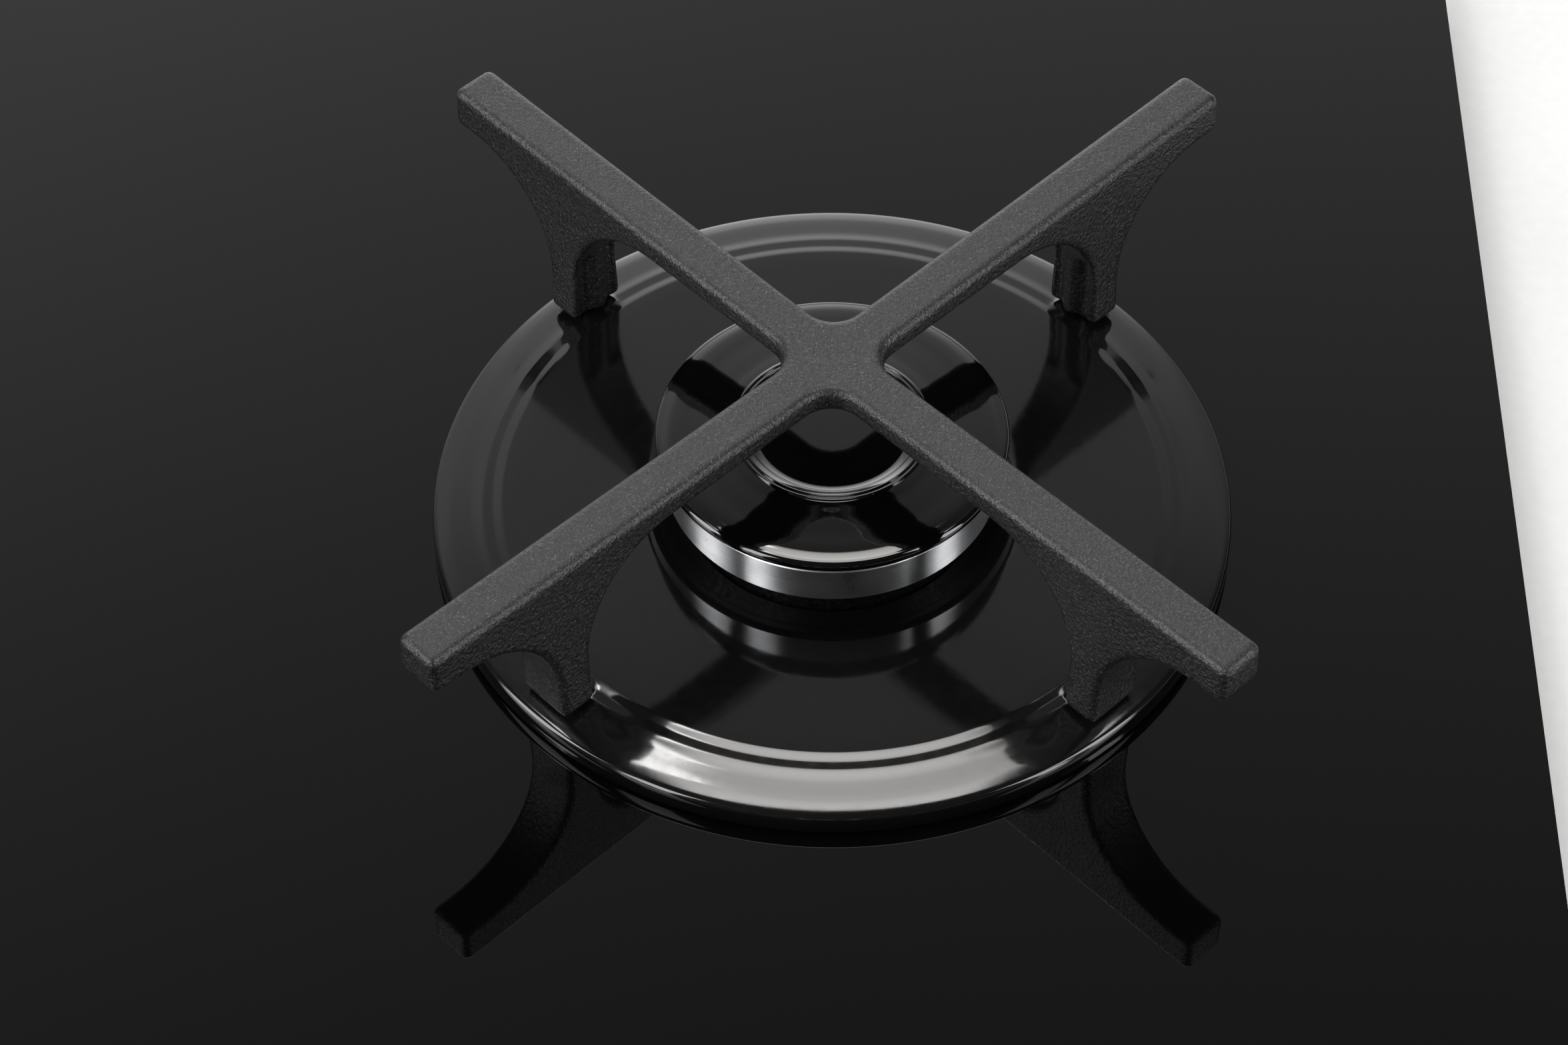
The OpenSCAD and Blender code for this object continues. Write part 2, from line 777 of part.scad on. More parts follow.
module glass_top() {
    color("#0b0b0c")
        difference() {
            union() {
                round_plate(glass_w - 2 * glass_bevel, glass_d - 2 * glass_bevel,
                            glass_corner_r - glass_bevel, z_glass_low, z_glass);
                round_plate(glass_w, glass_d, glass_corner_r,
                            z_glass_low + glass_bevel, z_glass - glass_bevel);
            }
            for (b = BURNERS) {
                translate(b_at(b)) rod(burner_hole_r(b_crown_r(b)), -over, z_glass + over);
                translate(b_tap(b)) rod(grommet_hole_r, -over, z_glass + over);
            }
        }
}

module worktop_seal() {
    w = glass_w - 2 * seal_inset;
    d = glass_d - 2 * seal_inset;
    color("#3a3a3a")
        difference() {
            round_plate(w, d, glass_corner_r - seal_inset / 2, 0, seal_t);
            translate([0, 0, seal_t / 2])
                cube([w - 2 * seal_w, d - 2 * seal_w, seal_t + 2 * over], center = true);
        }
}

module bottom_case() {
    inner_w = case_w - 2 * case_wall;
    inner_d = case_d - 2 * case_wall;
    niche_y = case_d / 2 - niche_d;
    niche_top = z_floor + niche_h;
    color("#a4a7aa")
        difference() {
            union() {
                difference() {
                    round_plate(case_w, case_d, case_corner_r, z_floor, z_glass_low);
                    round_plate(inner_w, inner_d, case_corner_r - case_wall, z_floor_top, z_glass_low + over);
                }
                block([-niche_w / 2 - case_wall, niche_y - case_wall, z_floor],
                      [niche_w / 2 + case_wall, case_d / 2, niche_top + case_wall]);
            }
            block([-niche_w / 2, niche_y, z_floor - over], [niche_w / 2, case_d / 2 + over, niche_top]);
            translate([0, niche_y, z_gas])
                cube([manifold_w + 2 * easy, 2 * over + 2 * case_wall, manifold_w + 2 * easy], center = true);
            for (x = [-1, 1], y = [-1, 1])
                translate([x * bracket_hole_x / 2, y * bracket_hole_y / 2, 0])
                    rod(bracket_hole_r, z_floor - over, z_floor_top + over);
            for (p = case_screw_places())
                translate(p) rod(screw_r + thread_play, z_floor - over, z_floor_top + over);
            translate([terminal_x + terminal_size[0] / 2, case_d / 2 - case_wall - over,
                       z_floor_top + terminal_size[2] / 2])
                rotate([-90, 0, 0]) rod(mains_hole_r, 0, case_wall + 2 * over);
            for (i = [0:vent_count - 1], s = [-1, 1])
                translate([s * (front_lane_x + vent_w) - vent_w / 2, 0, z_floor - over])
                    translate([s * i * vent_pitch, vent_at[1] - vent_len - rear_burner_y / 2, 0])
                        cube([vent_w, vent_len, case_wall + 2 * over]);
        }
}

// Places of the screws that hold the bracket feet to the case floor
function bracket_feet(b) =
    let (y = bracket_half(b_crown_r(b)) - bracket_foot / 2)
        [b_at(b) + [0, y, 0], b_at(b) - [0, y, 0]];
function tap_feet() =
    let (x = tap_plate_w / 2 - bracket_foot / 2, y = -knob_y - knob_pitch / 2)
        [[x, y, 0], [-x, y, 0]];
function case_screw_places() = concat([for (b = BURNERS) each bracket_feet(b)], tap_feet());

module burner_brackets() {
    color("#b0b3b6")
        for (b = BURNERS) translate(b_at(b)) burner_bracket(b_crown_r(b), b_side(b));
}

module burner_bracket(cr, side) {
    half = bracket_half(cr);
    difference() {
        union() {
            block([-half, -half, z_plate], [half, half, z_glass_low]);
            for (s = [-1, 1]) flip_y(s) bracket_leg(half, bracket_leg_w, z_glass_low - plate_t / 2);
        }
        rod(mix_out() + easy, z_plate - over, z_glass_low + over);
        translate([0, -boss_r - easy, z_plate - over])
            mirror([side > 0 ? 1 : 0, 0, 0]) cube([boss_len + easy, 2 * (boss_r + easy), plate_t + 2 * over]);
        for (a = screw_angles(side))
            rotate([0, 0, a])
                translate([screw_place(cr), 0, 0])
                    rod(screw_r + thread_play, z_plate - over, z_glass_low + over);
        for (a = probe_angles)
            rotate([0, 0, a])
                translate([probe_place(cr), 0, 0]) rod(bracket_pass_r, z_plate - over, z_glass_low + over);
        for (s = [-1, 1])
            translate([0, s * (half - bracket_foot / 2), 0])
                rod(screw_hole_r, z_floor, z_floor_top + plate_t + over);
    }
}

module flip_y(s) {
    mirror([0, s < 0 ? 1 : 0, 0]) children();
}

// Turned-down leg with a foot, at the far edge in +Y
module bracket_leg(half, w, z_top) {
    block([-w / 2, half - plate_t, z_floor_top], [w / 2, half, z_top]);
    block([-w / 2, half - bracket_foot, z_floor_top], [w / 2, half, z_floor_top + plate_t]);
}

module tap_bracket() {
    half = tap_plate_w / 2;
    y_mid = -knob_y - knob_pitch / 2;
    color("#b0b3b6")
        translate([0, y_mid, 0])
            difference() {
                union() {
                    block([-half, -tap_plate_d / 2, tap_top], [half, tap_plate_d / 2, tap_top + plate_t]);
                    for (s = [-90, 90])
                        rotate([0, 0, s]) bracket_leg(half, tap_leg_w, tap_top + plate_t / 2);
                }
                for (b = BURNERS)
                    translate(b_tap(b) - [0, y_mid, 0]) {
                        rod(tap_plate_hole_r, tap_top - over, tap_top + plate_t + over);
                        for (p = tap_screw_places())
                            translate(p) rod(screw_hole_r, tap_top - over, tap_top + plate_t + over);
                    }
                for (p = tap_feet())
                    translate(p - [0, y_mid, 0]) rod(screw_hole_r, z_floor, z_floor_top + plate_t + over);
            }
}

module pan_gaskets() {
    color("#55565a")
        for (b = BURNERS)
            translate(b_at(b))
                tube(burner_hole_r(b_crown_r(b)) + slip, burner_hole_r(b_crown_r(b)) + slip + gasket_w,
                     z_glass, z_pan_low);
}

module spindle_seals() {
    color("#202022")
        for (b = BURNERS)
            translate(b_tap(b)) {
                tube(spindle_r + slip, grommet_flange_r, z_glass_low - grommet_flange_t, z_glass_low);
                tube(spindle_r + slip, grommet_hole_r - running, z_glass_low, z_glass);
                tube(spindle_r + slip, grommet_flange_r, z_glass, z_glass + grommet_flange_t);
            }
}

module gas_manifold() {
    half = manifold_w / 2;
    y_end = inlet_y - elbow_w / 2;
    color("#b7babd")
        difference() {
            block([-half, -manifold_front, z_gas - half], [half, y_end, z_gas + half]);
            translate([0, y_end + over, z_gas])
                rotate([90, 0, 0]) rod(manifold_bore_r, 0, y_end + over + manifold_front - manifold_end_wall);
            for (b = BURNERS)
                translate([0, b_tap(b)[1], z_gas])
                    rotate([0, 90 * b_side(b), 0]) rod(tap_port_r, 0, half + over);
        }
}

module inlet_elbow() {
    z_low = z_gas - elbow_h / 2;
    z_end = z_floor + thread_end_gap;
    color("#c9a24a")
        translate([0, inlet_y, 0])
            difference() {
                union() {
                    block([-elbow_w / 2, -elbow_w / 2, z_low],
                          [elbow_w / 2, elbow_w / 2, z_gas + elbow_h / 2]);
                    rod(inlet_r, z_end, z_low + over);
                }
                rod(manifold_bore_r, z_end - over, z_gas);
                translate([0, 0, z_gas])
                    rotate([90, 0, 0]) rod(manifold_bore_r, -manifold_bore_r / 2, elbow_w);
            }
}

module injectors() {
    z0 = nose_z + block_h;
    z_tail = z0 - injector_thread_h;
    z_jet = z0 + injector_hex_h + injector_nose_h;
    color("#c9a24a")
        for (b = BURNERS)
            translate(b_at(b))
                difference() {
                    union() {
                        rod(injector_thread_r, z_tail, z0);
                        translate([0, 0, z0]) cylinder(r = injector_hex_r, h = injector_hex_h, $fn = hex);
                        rod(injector_nose_r, z0, z_jet);
                    }
                    rod(injector_jet_r, z_tail - over, z_jet + over);
                }
}
injector_hex_r = 4;
injector_hex_h = 4;
injector_nose_r = 2.2;
injector_nose_h = 2;
injector_jet_r = 0.5;

// Sets its child at one of the two probe places of every burner
module at_probes(angle) {
    for (b = BURNERS)
        translate(b_at(b))
            rotate([0, 0, angle]) translate([probe_place(b_crown_r(b)), 0, 0]) children();
}

module spark_plugs() {
    z_top = z_glass + spark_top;
    color("#e8e6df")
        at_probes(probe_angles[1]) {
            rod(spark_r, z_ear_low - spark_tail, z_top - spark_tip_h);
            rod(spark_tip_r, z_top - spark_tip_h, z_top);
            rod(collar_r, z_ear_low - collar_h, z_ear_low);
            block([-blade_t / 2, -blade_w / 2, z_ear_low - spark_tail - blade_h],
                  [blade_t / 2, blade_w / 2, z_ear_low - spark_tail]);
        }
}

module thermocouples() {
    z_top = z_glass + probe_top;
    color("#b58a50")
        at_probes(probe_angles[0]) {
            rod(probe_r, z_ear_low - spark_tail, z_top - probe_r);
            translate([0, 0, z_top - probe_r]) sphere(r = probe_r);
            rod(collar_r, z_ear_low - collar_h, z_ear_low);
        }
}

module ignition_module() {
    color("#e2e2dc")
        translate([module_at[0], module_at[1], z_floor_top]) {
            cube(module_size);
            for (i = [0:3])
                translate([module_size[0] / 2, module_size[1] * (i + 1) / 5, module_size[2]])
                    rod(module_post_r, 0, module_post_h);
            for (x = [0, module_size[0] - module_rib_t])
                translate([x, 0, module_size[2]]) cube([module_rib_t, module_size[1], module_rib_t]);
        }
}

module mains_terminal() {
    ways = 3;
    color("#d9d8d2")
        translate([terminal_x, case_d / 2 - case_wall - terminal_gap - terminal_size[1], z_floor_top])
            difference() {
                cube(terminal_size);
                for (i = [0:ways - 1])
                    translate([terminal_size[0] * (i + 1) / (ways + 1) - terminal_way_w / 2, terminal_way_gap,
                               terminal_size[2] / 2])
                        cube([terminal_way_w, terminal_size[1], terminal_size[2]]);
            }
}

// A pan-head screw, its head's underside at z_head and its tip at z_tip
module screw(z_head, z_tip) {
    difference() {
        union() {
            rod(screw_r, z_tip, z_head);
            rod(screw_head_r, z_head, z_head + screw_head_h);
        }
        translate([0, 0, z_head + screw_head_h - screw_drive_h])
            cylinder(r = screw_drive_r, h = screw_drive_h + over, $fn = hex);
    }
}

function screw_len() = z_cup_low + cup_floor_t - z_plate + screw_tip;
function tap_screw_places() = [[tap_screw_x(), tap_screw_x(), 0], [-tap_screw_x(), -tap_screw_x(), 0]];
function tap_screw_x() = tap_w * tap_screw_share;
tap_screw_share = 0.364;

module assembly_screws() {
    color("#c8cacc")
        for (b = BURNERS) {
            translate(b_at(b))
                for (a = screw_angles(b_side(b)))
                    rotate([0, 0, a])
                        translate([screw_place(b_crown_r(b)), 0, 0])
                            screw(z_cup_low + cup_floor_t, z_plate - screw_tip);
            translate(b_tap(b))
                for (p = tap_screw_places())
                    translate(p) screw(tap_top + plate_t, tap_top + plate_t - screw_len());
        }
}

module case_screws() {
    color("#c8cacc")
        for (p = case_screw_places()) translate(p) screw(z_floor_top + plate_t, z_floor + slip);
}

for (b = BURNERS) {
    pan_support(b);
    drip_pan(b);
    burner_cap(b);
    burner_crown(b);
    burner_cup(b);
    knob(b);
    tap_body(b);
    tap_plug(b);
    tap_spindle(b);
    tap_spring(b);
    gas_pipe(b);
}
glass_top();
worktop_seal();
bottom_case();
burner_brackets();
tap_bracket();
pan_gaskets();
spindle_seals();
gas_manifold();
inlet_elbow();
injectors();
spark_plugs();
thermocouples();
ignition_module();
mains_terminal();
assembly_screws();
case_screws();
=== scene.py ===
"""Looks of a built-in gas hob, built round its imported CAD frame.

Lengths are in millimetres until a mesh is made.
"""
import json
import math

import bpy
import numpy as np
from mathutils import Matrix, Vector


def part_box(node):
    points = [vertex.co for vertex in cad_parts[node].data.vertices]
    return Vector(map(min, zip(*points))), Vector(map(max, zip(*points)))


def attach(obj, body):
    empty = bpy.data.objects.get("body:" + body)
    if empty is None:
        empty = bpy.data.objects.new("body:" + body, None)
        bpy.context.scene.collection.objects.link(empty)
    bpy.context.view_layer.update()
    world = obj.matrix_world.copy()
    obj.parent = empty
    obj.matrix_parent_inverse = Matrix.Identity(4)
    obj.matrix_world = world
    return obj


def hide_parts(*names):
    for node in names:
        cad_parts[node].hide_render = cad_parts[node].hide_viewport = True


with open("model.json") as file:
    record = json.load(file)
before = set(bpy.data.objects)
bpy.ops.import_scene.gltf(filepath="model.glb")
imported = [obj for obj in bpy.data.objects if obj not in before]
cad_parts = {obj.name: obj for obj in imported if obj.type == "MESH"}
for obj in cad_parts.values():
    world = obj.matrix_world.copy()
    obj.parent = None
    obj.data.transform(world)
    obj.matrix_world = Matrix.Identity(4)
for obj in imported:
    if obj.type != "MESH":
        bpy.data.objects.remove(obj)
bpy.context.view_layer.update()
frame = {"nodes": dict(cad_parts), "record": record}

MM = 0.001
PLACES = ("rear_right", "rear_left", "front_left", "front_right")


# ---------------------------------------------------------------- sizes read from the frame
def corners(node):
    low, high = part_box(node)
    return np.array(low) / MM, np.array(high) / MM


def middle(node):
    low, high = corners(node)
    return (low + high) / 2


def half_width(node):
    low, high = corners(node)
    return (high[0] - low[0]) / 2


GLASS_TOP = corners("glass_top")[1][2]
# where each burner's axis meets the top of the glass
axes = {place: np.array([*middle(f"burner_cap_{place}")[:2], GLASS_TOP]) for place in PLACES}


# ---------------------------------------------------------------- mesh helpers
def mesh_of(name, verts, faces):
    """A mesh from points in mm."""
    mesh = bpy.data.meshes.new(name)
    mesh.from_pydata((np.asarray(verts) * MM).tolist(), [], [list(map(int, f)) for f in faces])
    mesh.update()
    return mesh


def shade_smooth(mesh, sharp_angle=None):
    """Shades a mesh smooth, but for edges of more than sharp_angle degrees."""
    mesh.polygons.foreach_set("use_smooth", [True] * len(mesh.polygons))
    if sharp_angle is not None:
        mesh.set_sharp_from_angle(angle=math.radians(sharp_angle))


def add_mesh(name, mesh, body, slot, at, sharp_angle=None):
    """Shows a mesh at a point in mm, in the look of its slot, and lets it ride on a body."""
    shade_smooth(mesh, sharp_angle)
    if not mesh.materials:
        mesh.materials.append(LOOKS[slot])
    obj = bpy.data.objects.new(name, mesh)
    obj.location = Vector(at) * MM
    bpy.context.scene.collection.objects.link(obj)
    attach(obj, body)
    return obj


def turned(profile, steps, warp=None):
    """Points and faces of a closed outline of (r, z), turned about the Z axis.

    warp(r, z, angle) may move the points. Outline points on the axis become one vertex.
    """
    profile = np.asarray(profile, float)
    angle = np.arange(steps) * 2 * math.pi / steps
    r = np.repeat(profile[:, :1], steps, axis=1)
    z = np.repeat(profile[:, 1:], steps, axis=1)
    a = np.repeat(angle[None, :], len(profile), axis=0)
    if warp:
        r, z = warp(r, z, a)
    verts, rows = [], []
    for i, (r0, _) in enumerate(profile):
        if r0 < 1e-6:
            rows.append([len(verts)] * steps)
            verts.append((0, 0, float(z[i].mean())))
        else:
            rows.append(list(range(len(verts), len(verts) + steps)))
            verts.extend(zip(r[i] * np.cos(a[i]), r[i] * np.sin(a[i]), z[i]))
    faces = []
    for i, p in enumerate(rows):
        q = rows[(i + 1) % len(rows)]
        if p[0] == p[1] and q[0] == q[1]:
            continue
        for k in range(steps):
            n = (k + 1) % steps
            ring = [p[k], p[n], q[n], q[k]]
            faces.append([v for j, v in enumerate(ring) if v != ring[j - 1]])
    return verts, faces


def arc(centre, radius, start, stop, count):
    """Points on a circle from the angle start to the angle stop, in degrees."""
    angle = np.radians(np.linspace(start, stop, count))
    return [(centre[0] + radius * math.cos(t), centre[1] + radius * math.sin(t)) for t in angle]


def between(u, at_low, low, at_high, high):
    """Value at u on the straight line through at_low at low and at_high at high."""
    return (high - u) / (high - low) * at_low + (u - low) / (high - low) * at_high


def spline(points, per_span):
    """Smooth curve through the points, with rounded turns (centripetal Catmull-Rom)."""
    p = np.asarray(points, float)
    p = np.vstack([2 * p[0] - p[1], p, 2 * p[-1] - p[-2]])
    out = []
    for i in range(1, len(p) - 2):
        t = np.cumsum([0.0] + [np.linalg.norm(p[i + k] - p[i + k - 1]) ** 0.5 for k in range(3)])
        for u in np.linspace(t[1], t[2], per_span, endpoint=False):
            a1 = between(u, p[i - 1], t[0], p[i], t[1])
            a2 = between(u, p[i], t[1], p[i + 1], t[2])
            a3 = between(u, p[i + 1], t[2], p[i + 2], t[3])
            b1 = between(u, a1, t[0], a2, t[2])
            b2 = between(u, a2, t[1], a3, t[3])
            out.append(between(u, b1, t[1], b2, t[2]))
    out.append(p[-2])
    return [tuple(q) for q in out]


# ---------------------------------------------------------------- material helpers
COLOR_A, COLOR_B, COLOR_OUT = 6, 7, 2  # colour sockets of a mix node, where names occur more than once


def darker(color, share):
    return tuple(c * share for c in color)


class Graph:
    """Adds nodes to a node tree."""

    def __init__(self, tree):
        self.tree = tree

    def node(self, kind, **props):
        n = self.tree.nodes.new(kind)
        for key, value in props.items():
            setattr(n, key, value)
        return n

    def link(self, out, socket):
        self.tree.links.new(out, socket)

    def ramp(self, value, low, high, to_low=0.0, to_high=1.0, soft=False):
        """Maps value from low..high to to_low..to_high, clamped."""
        n = self.node("ShaderNodeMapRange", interpolation_type="SMOOTHSTEP" if soft else "LINEAR")
        n.inputs["From Min"].default_value = low
        n.inputs["From Max"].default_value = high
        n.inputs["To Min"].default_value = to_low
        n.inputs["To Max"].default_value = to_high
        self.link(value, n.inputs["Value"])
        return n.outputs["Result"]

    def mix(self, fac, first, second):
        """Mixes two colours, each a tuple or an output, by fac."""
        n = self.node("ShaderNodeMix", data_type="RGBA")
        self.link(fac, n.inputs["Factor"])
        for socket, value in ((n.inputs[COLOR_A], first), (n.inputs[COLOR_B], second)):
            if isinstance(value, tuple):
                socket.default_value = (*value, 1)
            else:
                self.link(value, socket)
        return n.outputs[COLOR_OUT]

    def math(self, kind, first, second=None):
        """One sum, of outputs or numbers."""
        n = self.node("ShaderNodeMath", operation=kind)
        for socket, value in zip(n.inputs, (first, second)):
            if isinstance(value, (int, float)):
                socket.default_value = value
            elif value is not None:
                self.link(value, socket)
        return n.outputs[0]

    def split(self, vector):
        """The X, Y and Z of a vector."""
        n = self.node("ShaderNodeSeparateXYZ")
        self.link(vector, n.inputs[0])
        return n.outputs

    def curve(self, value, stops):
        """Reads a grey level off a list of (position, level), positions from 0 to 1."""
        n = self.node("ShaderNodeValToRGB")
        elements = n.color_ramp.elements
        for position, level in stops:
            if position == 0.0:
                element = elements[0]
            elif position == 1.0:
                element = elements[len(elements) - 1]
            else:
                element = elements.new(position)
            element.color = (level, level, level, 1)
        self.link(value, n.inputs["Fac"])
        return n.outputs["Color"]


class Look(Graph):
    """A node material. Sizes of patterns are given in millimetres."""

    def __init__(self, name, color, rough, metallic=0.0, **sockets):
        self.mat = bpy.data.materials.new(name)
        self.mat.use_nodes = True
        super().__init__(self.mat.node_tree)
        self.shader = self.tree.nodes["Principled BSDF"]
        self.set("Base Color", (*color, 1))
        self.set("Roughness", rough)
        self.set("Metallic", metallic)
        for key, value in sockets.items():
            self.set(key.replace("_", " "), value)
        self.coords = self.node("ShaderNodeTexCoord").outputs["Object"]
        self.normal = None

    def set(self, socket, value):
        self.shader.inputs[socket].default_value = value

    def noise(self, size, detail=2.0, rough=0.5, stretch=None):
        n = self.node("ShaderNodeTexNoise")
        n.inputs["Scale"].default_value = 1 / (size * MM)
        n.inputs["Detail"].default_value = detail
        n.inputs["Roughness"].default_value = rough
        self.link(self.mapped(stretch), n.inputs["Vector"])
        return n.outputs["Fac"]

    def cells(self, size, feature="F1", out="Distance"):
        n = self.node("ShaderNodeTexVoronoi", feature=feature)
        n.inputs["Scale"].default_value = 1 / (size * MM)
        self.link(self.coords, n.inputs["Vector"])
        return n.outputs[out]

    def mapped(self, stretch):
        """The object's coordinates, each times its stretch; under 1 draws a pattern out along that axis."""
        if stretch is None:
            return self.coords
        n = self.node("ShaderNodeMapping")
        n.inputs["Scale"].default_value = stretch
        self.link(self.coords, n.inputs["Vector"])
        return n.outputs["Vector"]

    def bump(self, height, depth, strength=1.0):
        """Adds a bump whose full height is `depth` mm, on top of those before it."""
        n = self.node("ShaderNodeBump")
        n.inputs["Distance"].default_value = depth * MM
        n.inputs["Strength"].default_value = strength
        self.link(height, n.inputs["Height"])
        if self.normal is not None:
            self.link(self.normal, n.inputs["Normal"])
        self.normal = n.outputs["Normal"]
        self.link(self.normal, self.shader.inputs["Normal"])

    def color(self, out):
        self.link(out, self.shader.inputs["Base Color"])

    def rough(self, out):
        self.link(out, self.shader.inputs["Roughness"])

    def patchy_rough(self, size, detail, low, high):
        """Roughness that wanders from low to high in patches of a size."""
        self.rough(self.ramp(self.noise(size, detail=detail), 0.3, 0.7, low, high))

    def surface(self, out):
        """The X, Y and Z of the surface's Normal or Position, in the world."""
        return self.split(self.node("ShaderNodeNewGeometry").outputs[out])


def cast_iron_look():
    """Coarse matt enamel on cast iron: pebbled, with small bright grains painted in as glints, and smoother where
    it lies level.
    """
    m = Look("cast_iron_enamel", (0.02, 0.02, 0.021), 0.5, IOR=1.5)
    grain = m.noise(0.36, rough=0.65)
    pebble = m.noise(0.8, detail=1.0)
    relief = m.ramp(m.math("ABSOLUTE", m.surface("Normal")["Z"]), 0.5, 0.9, 1.0, 0.3)
    # painted glints: grains where the noise runs high get a pale colour that stands in for sparkle; their lower
    # roughness and bump are real
    painted_glint = m.ramp(grain, 0.6, 0.68)
    tone = m.mix(m.ramp(pebble, 0.35, 0.7), (0.006, 0.006, 0.0062), (0.014, 0.014, 0.0144))
    m.color(m.mix(painted_glint, tone, (0.09, 0.09, 0.094)))
    m.rough(m.ramp(grain, 0.3, 0.7, 0.48, 0.24))
    m.bump(m.math("MULTIPLY", pebble, relief), 0.34, 0.9)
    m.bump(grain, 0.13, 0.9)
    return m.mat


def enamel_look(name, color, peel, rough, ior):
    """Glossy vitreous enamel: faint orange peel, a slow waviness and a few pin specks."""
    m = Look(name, color, rough, IOR=ior)
    speck = m.ramp(m.cells(3.2), 0.02, 0.05, 1.0, 0.0)
    cloudy = m.mix(m.noise(14, detail=2), darker(color, 0.75), color)
    m.color(m.mix(m.math("MULTIPLY", speck, 0.35), cloudy, (0.02, 0.02, 0.02)))
    m.patchy_rough(2.2, 3, rough * 0.75, rough * 1.25)
    m.bump(m.noise(1.1, detail=1), peel)
    m.bump(m.noise(9, detail=1), peel * 3)
    return m.mat


def glass_look():
    """Black enamelled glass seen through its clear, polished top."""
    black = (0.0012, 0.0012, 0.0013)
    m = Look("black_glass", black, 0.012, IOR=1.45)
    m.rough(m.ramp(m.noise(60, detail=5, rough=0.6), 0.45, 0.75, 0.008, 0.022))
    dust = m.ramp(m.cells(7), 0.008, 0.02, 1.0, 0.0)
    m.color(m.mix(m.math("MULTIPLY", dust, 0.3), black, (0.03, 0.03, 0.03)))
    m.bump(m.noise(90, detail=1), 0.02)
    return m.mat


def turned_metal_look():
    """Aluminium turned on a lathe: fine grooves run round it, so lights draw out into upright streaks."""
    m = Look("turned_aluminium", (0.76, 0.77, 0.79), 0.36, 1.0, Anisotropic_Rotation=0.25)
    tangent = m.node("ShaderNodeTangent", direction_type="RADIAL", axis="Z")
    m.link(tangent.outputs["Tangent"], m.shader.inputs["Tangent"])
    groove = m.noise(0.16, detail=3, stretch=(0.02, 0.02, 1.0))
    m.rough(m.ramp(m.noise(5.0, detail=4), 0.3, 0.75, 0.27, 0.33))
    m.color(m.mix(m.ramp(groove, 0.3, 0.7), (0.66, 0.67, 0.69), (0.82, 0.83, 0.85)))
    m.bump(groove, 0.004, 0.6)
    # only the upright wall is streaked
    wall = m.ramp(m.math("ABSOLUTE", m.surface("Normal")["Z"]), 0.3, 0.6, 1.0, 0.0)
    m.link(wall, m.shader.inputs["Anisotropic"])
    return m.mat


def cast_metal_look(name, color, rough):
    """Die-cast metal: dull, slightly mottled skin, darkened with painted shade where it stands above the glass.
    """
    m = Look(name, color, rough, 1.0)
    skin = m.mix(m.ramp(m.noise(2.5, detail=4), 0.3, 0.7), darker(color, 0.6), color)
    # painted shade: the colour turns near-black over the first 2 mm above the glass and stays so higher up,
    # standing in for the crown's shadow
    painted_shade_above_glass = m.ramp(m.surface("Position")["Z"], GLASS_TOP * MM, (GLASS_TOP + 2) * MM)
    m.color(m.mix(painted_shade_above_glass, skin, (0.03, 0.03, 0.031)))
    m.patchy_rough(0.9, 2, rough * 0.8, rough * 1.25)
    m.bump(m.noise(0.5, detail=2), 0.04, 0.6)
    return m.mat


def machined_look(name, color, rough):
    """Machined metal: tool lines along the bar and faint handling stains."""
    m = Look(name, color, rough, 1.0)
    m.color(m.mix(m.ramp(m.noise(6, detail=3), 0.45, 0.75), color, darker(color, 0.7)))
    m.patchy_rough(1.6, 3, rough * 0.7, rough * 1.3)
    m.bump(m.noise(0.25, detail=2, stretch=(1.0, 0.1, 1.0)), 0.006, 0.5)
    return m.mat


def sheet_metal_look():
    """Galvanised sheet: grey crystals a few millimetres across, with fine rolling lines."""
    m = Look("galvanised_sheet", (0.55, 0.57, 0.58), 0.38, 1.0)
    crystal = m.node("ShaderNodeSeparateColor")
    m.link(m.cells(7, out="Color"), crystal.inputs[0])
    m.color(m.mix(crystal.outputs[0], (0.46, 0.48, 0.49), (0.63, 0.65, 0.66)))
    m.rough(m.ramp(crystal.outputs[1], 0.0, 1.0, 0.3, 0.48))
    m.bump(m.noise(0.4, detail=2, stretch=(0.05, 1.0, 1.0)), 0.006, 0.5)
    return m.mat


def plastic_look(name, color, rough, grain=0.02):
    """Moulded plastic with a fine spark-eroded texture."""
    m = Look(name, color, rough, IOR=1.5)
    m.color(m.mix(m.ramp(m.noise(12, detail=3), 0.35, 0.7), color, darker(color, 0.82)))
    m.patchy_rough(1.5, 2, rough * 0.88, rough * 1.12)
    m.bump(m.noise(0.35, detail=2), grain, 0.8)
    return m.mat


def rubber_look(name, color, rough, pore):
    """Rubber, foam or pressed fibre: matt, with small pores, darkened with painted shade."""
    m = Look(name, color, rough, Specular_IOR_Level=0.35)
    pore_with_painted_shade = m.ramp(m.cells(pore), 0.12, 0.3)
    # painted shade: the pores are coloured half as dark as the rest, as if shaded inside
    m.color(m.mix(pore_with_painted_shade, darker(color, 0.5), color))
    m.patchy_rough(3, 2, rough * 0.92, rough * 1.08)
    m.bump(pore_with_painted_shade, 0.06, 0.6)
    return m.mat


def ceramic_look():
    """White glazed ceramic, faintly crazed."""
    m = Look("plug_ceramic", (0.78, 0.76, 0.70), 0.2, IOR=1.6)
    craze = m.ramp(m.cells(1.4, feature="DISTANCE_TO_EDGE"), 0.0, 0.03)
    m.color(m.mix(craze, (0.55, 0.53, 0.48), (0.80, 0.78, 0.72)))
    m.patchy_rough(1.5, 3, 0.14, 0.28)
    m.bump(m.noise(1.2, detail=2), 0.02, 0.5)
    return m.mat


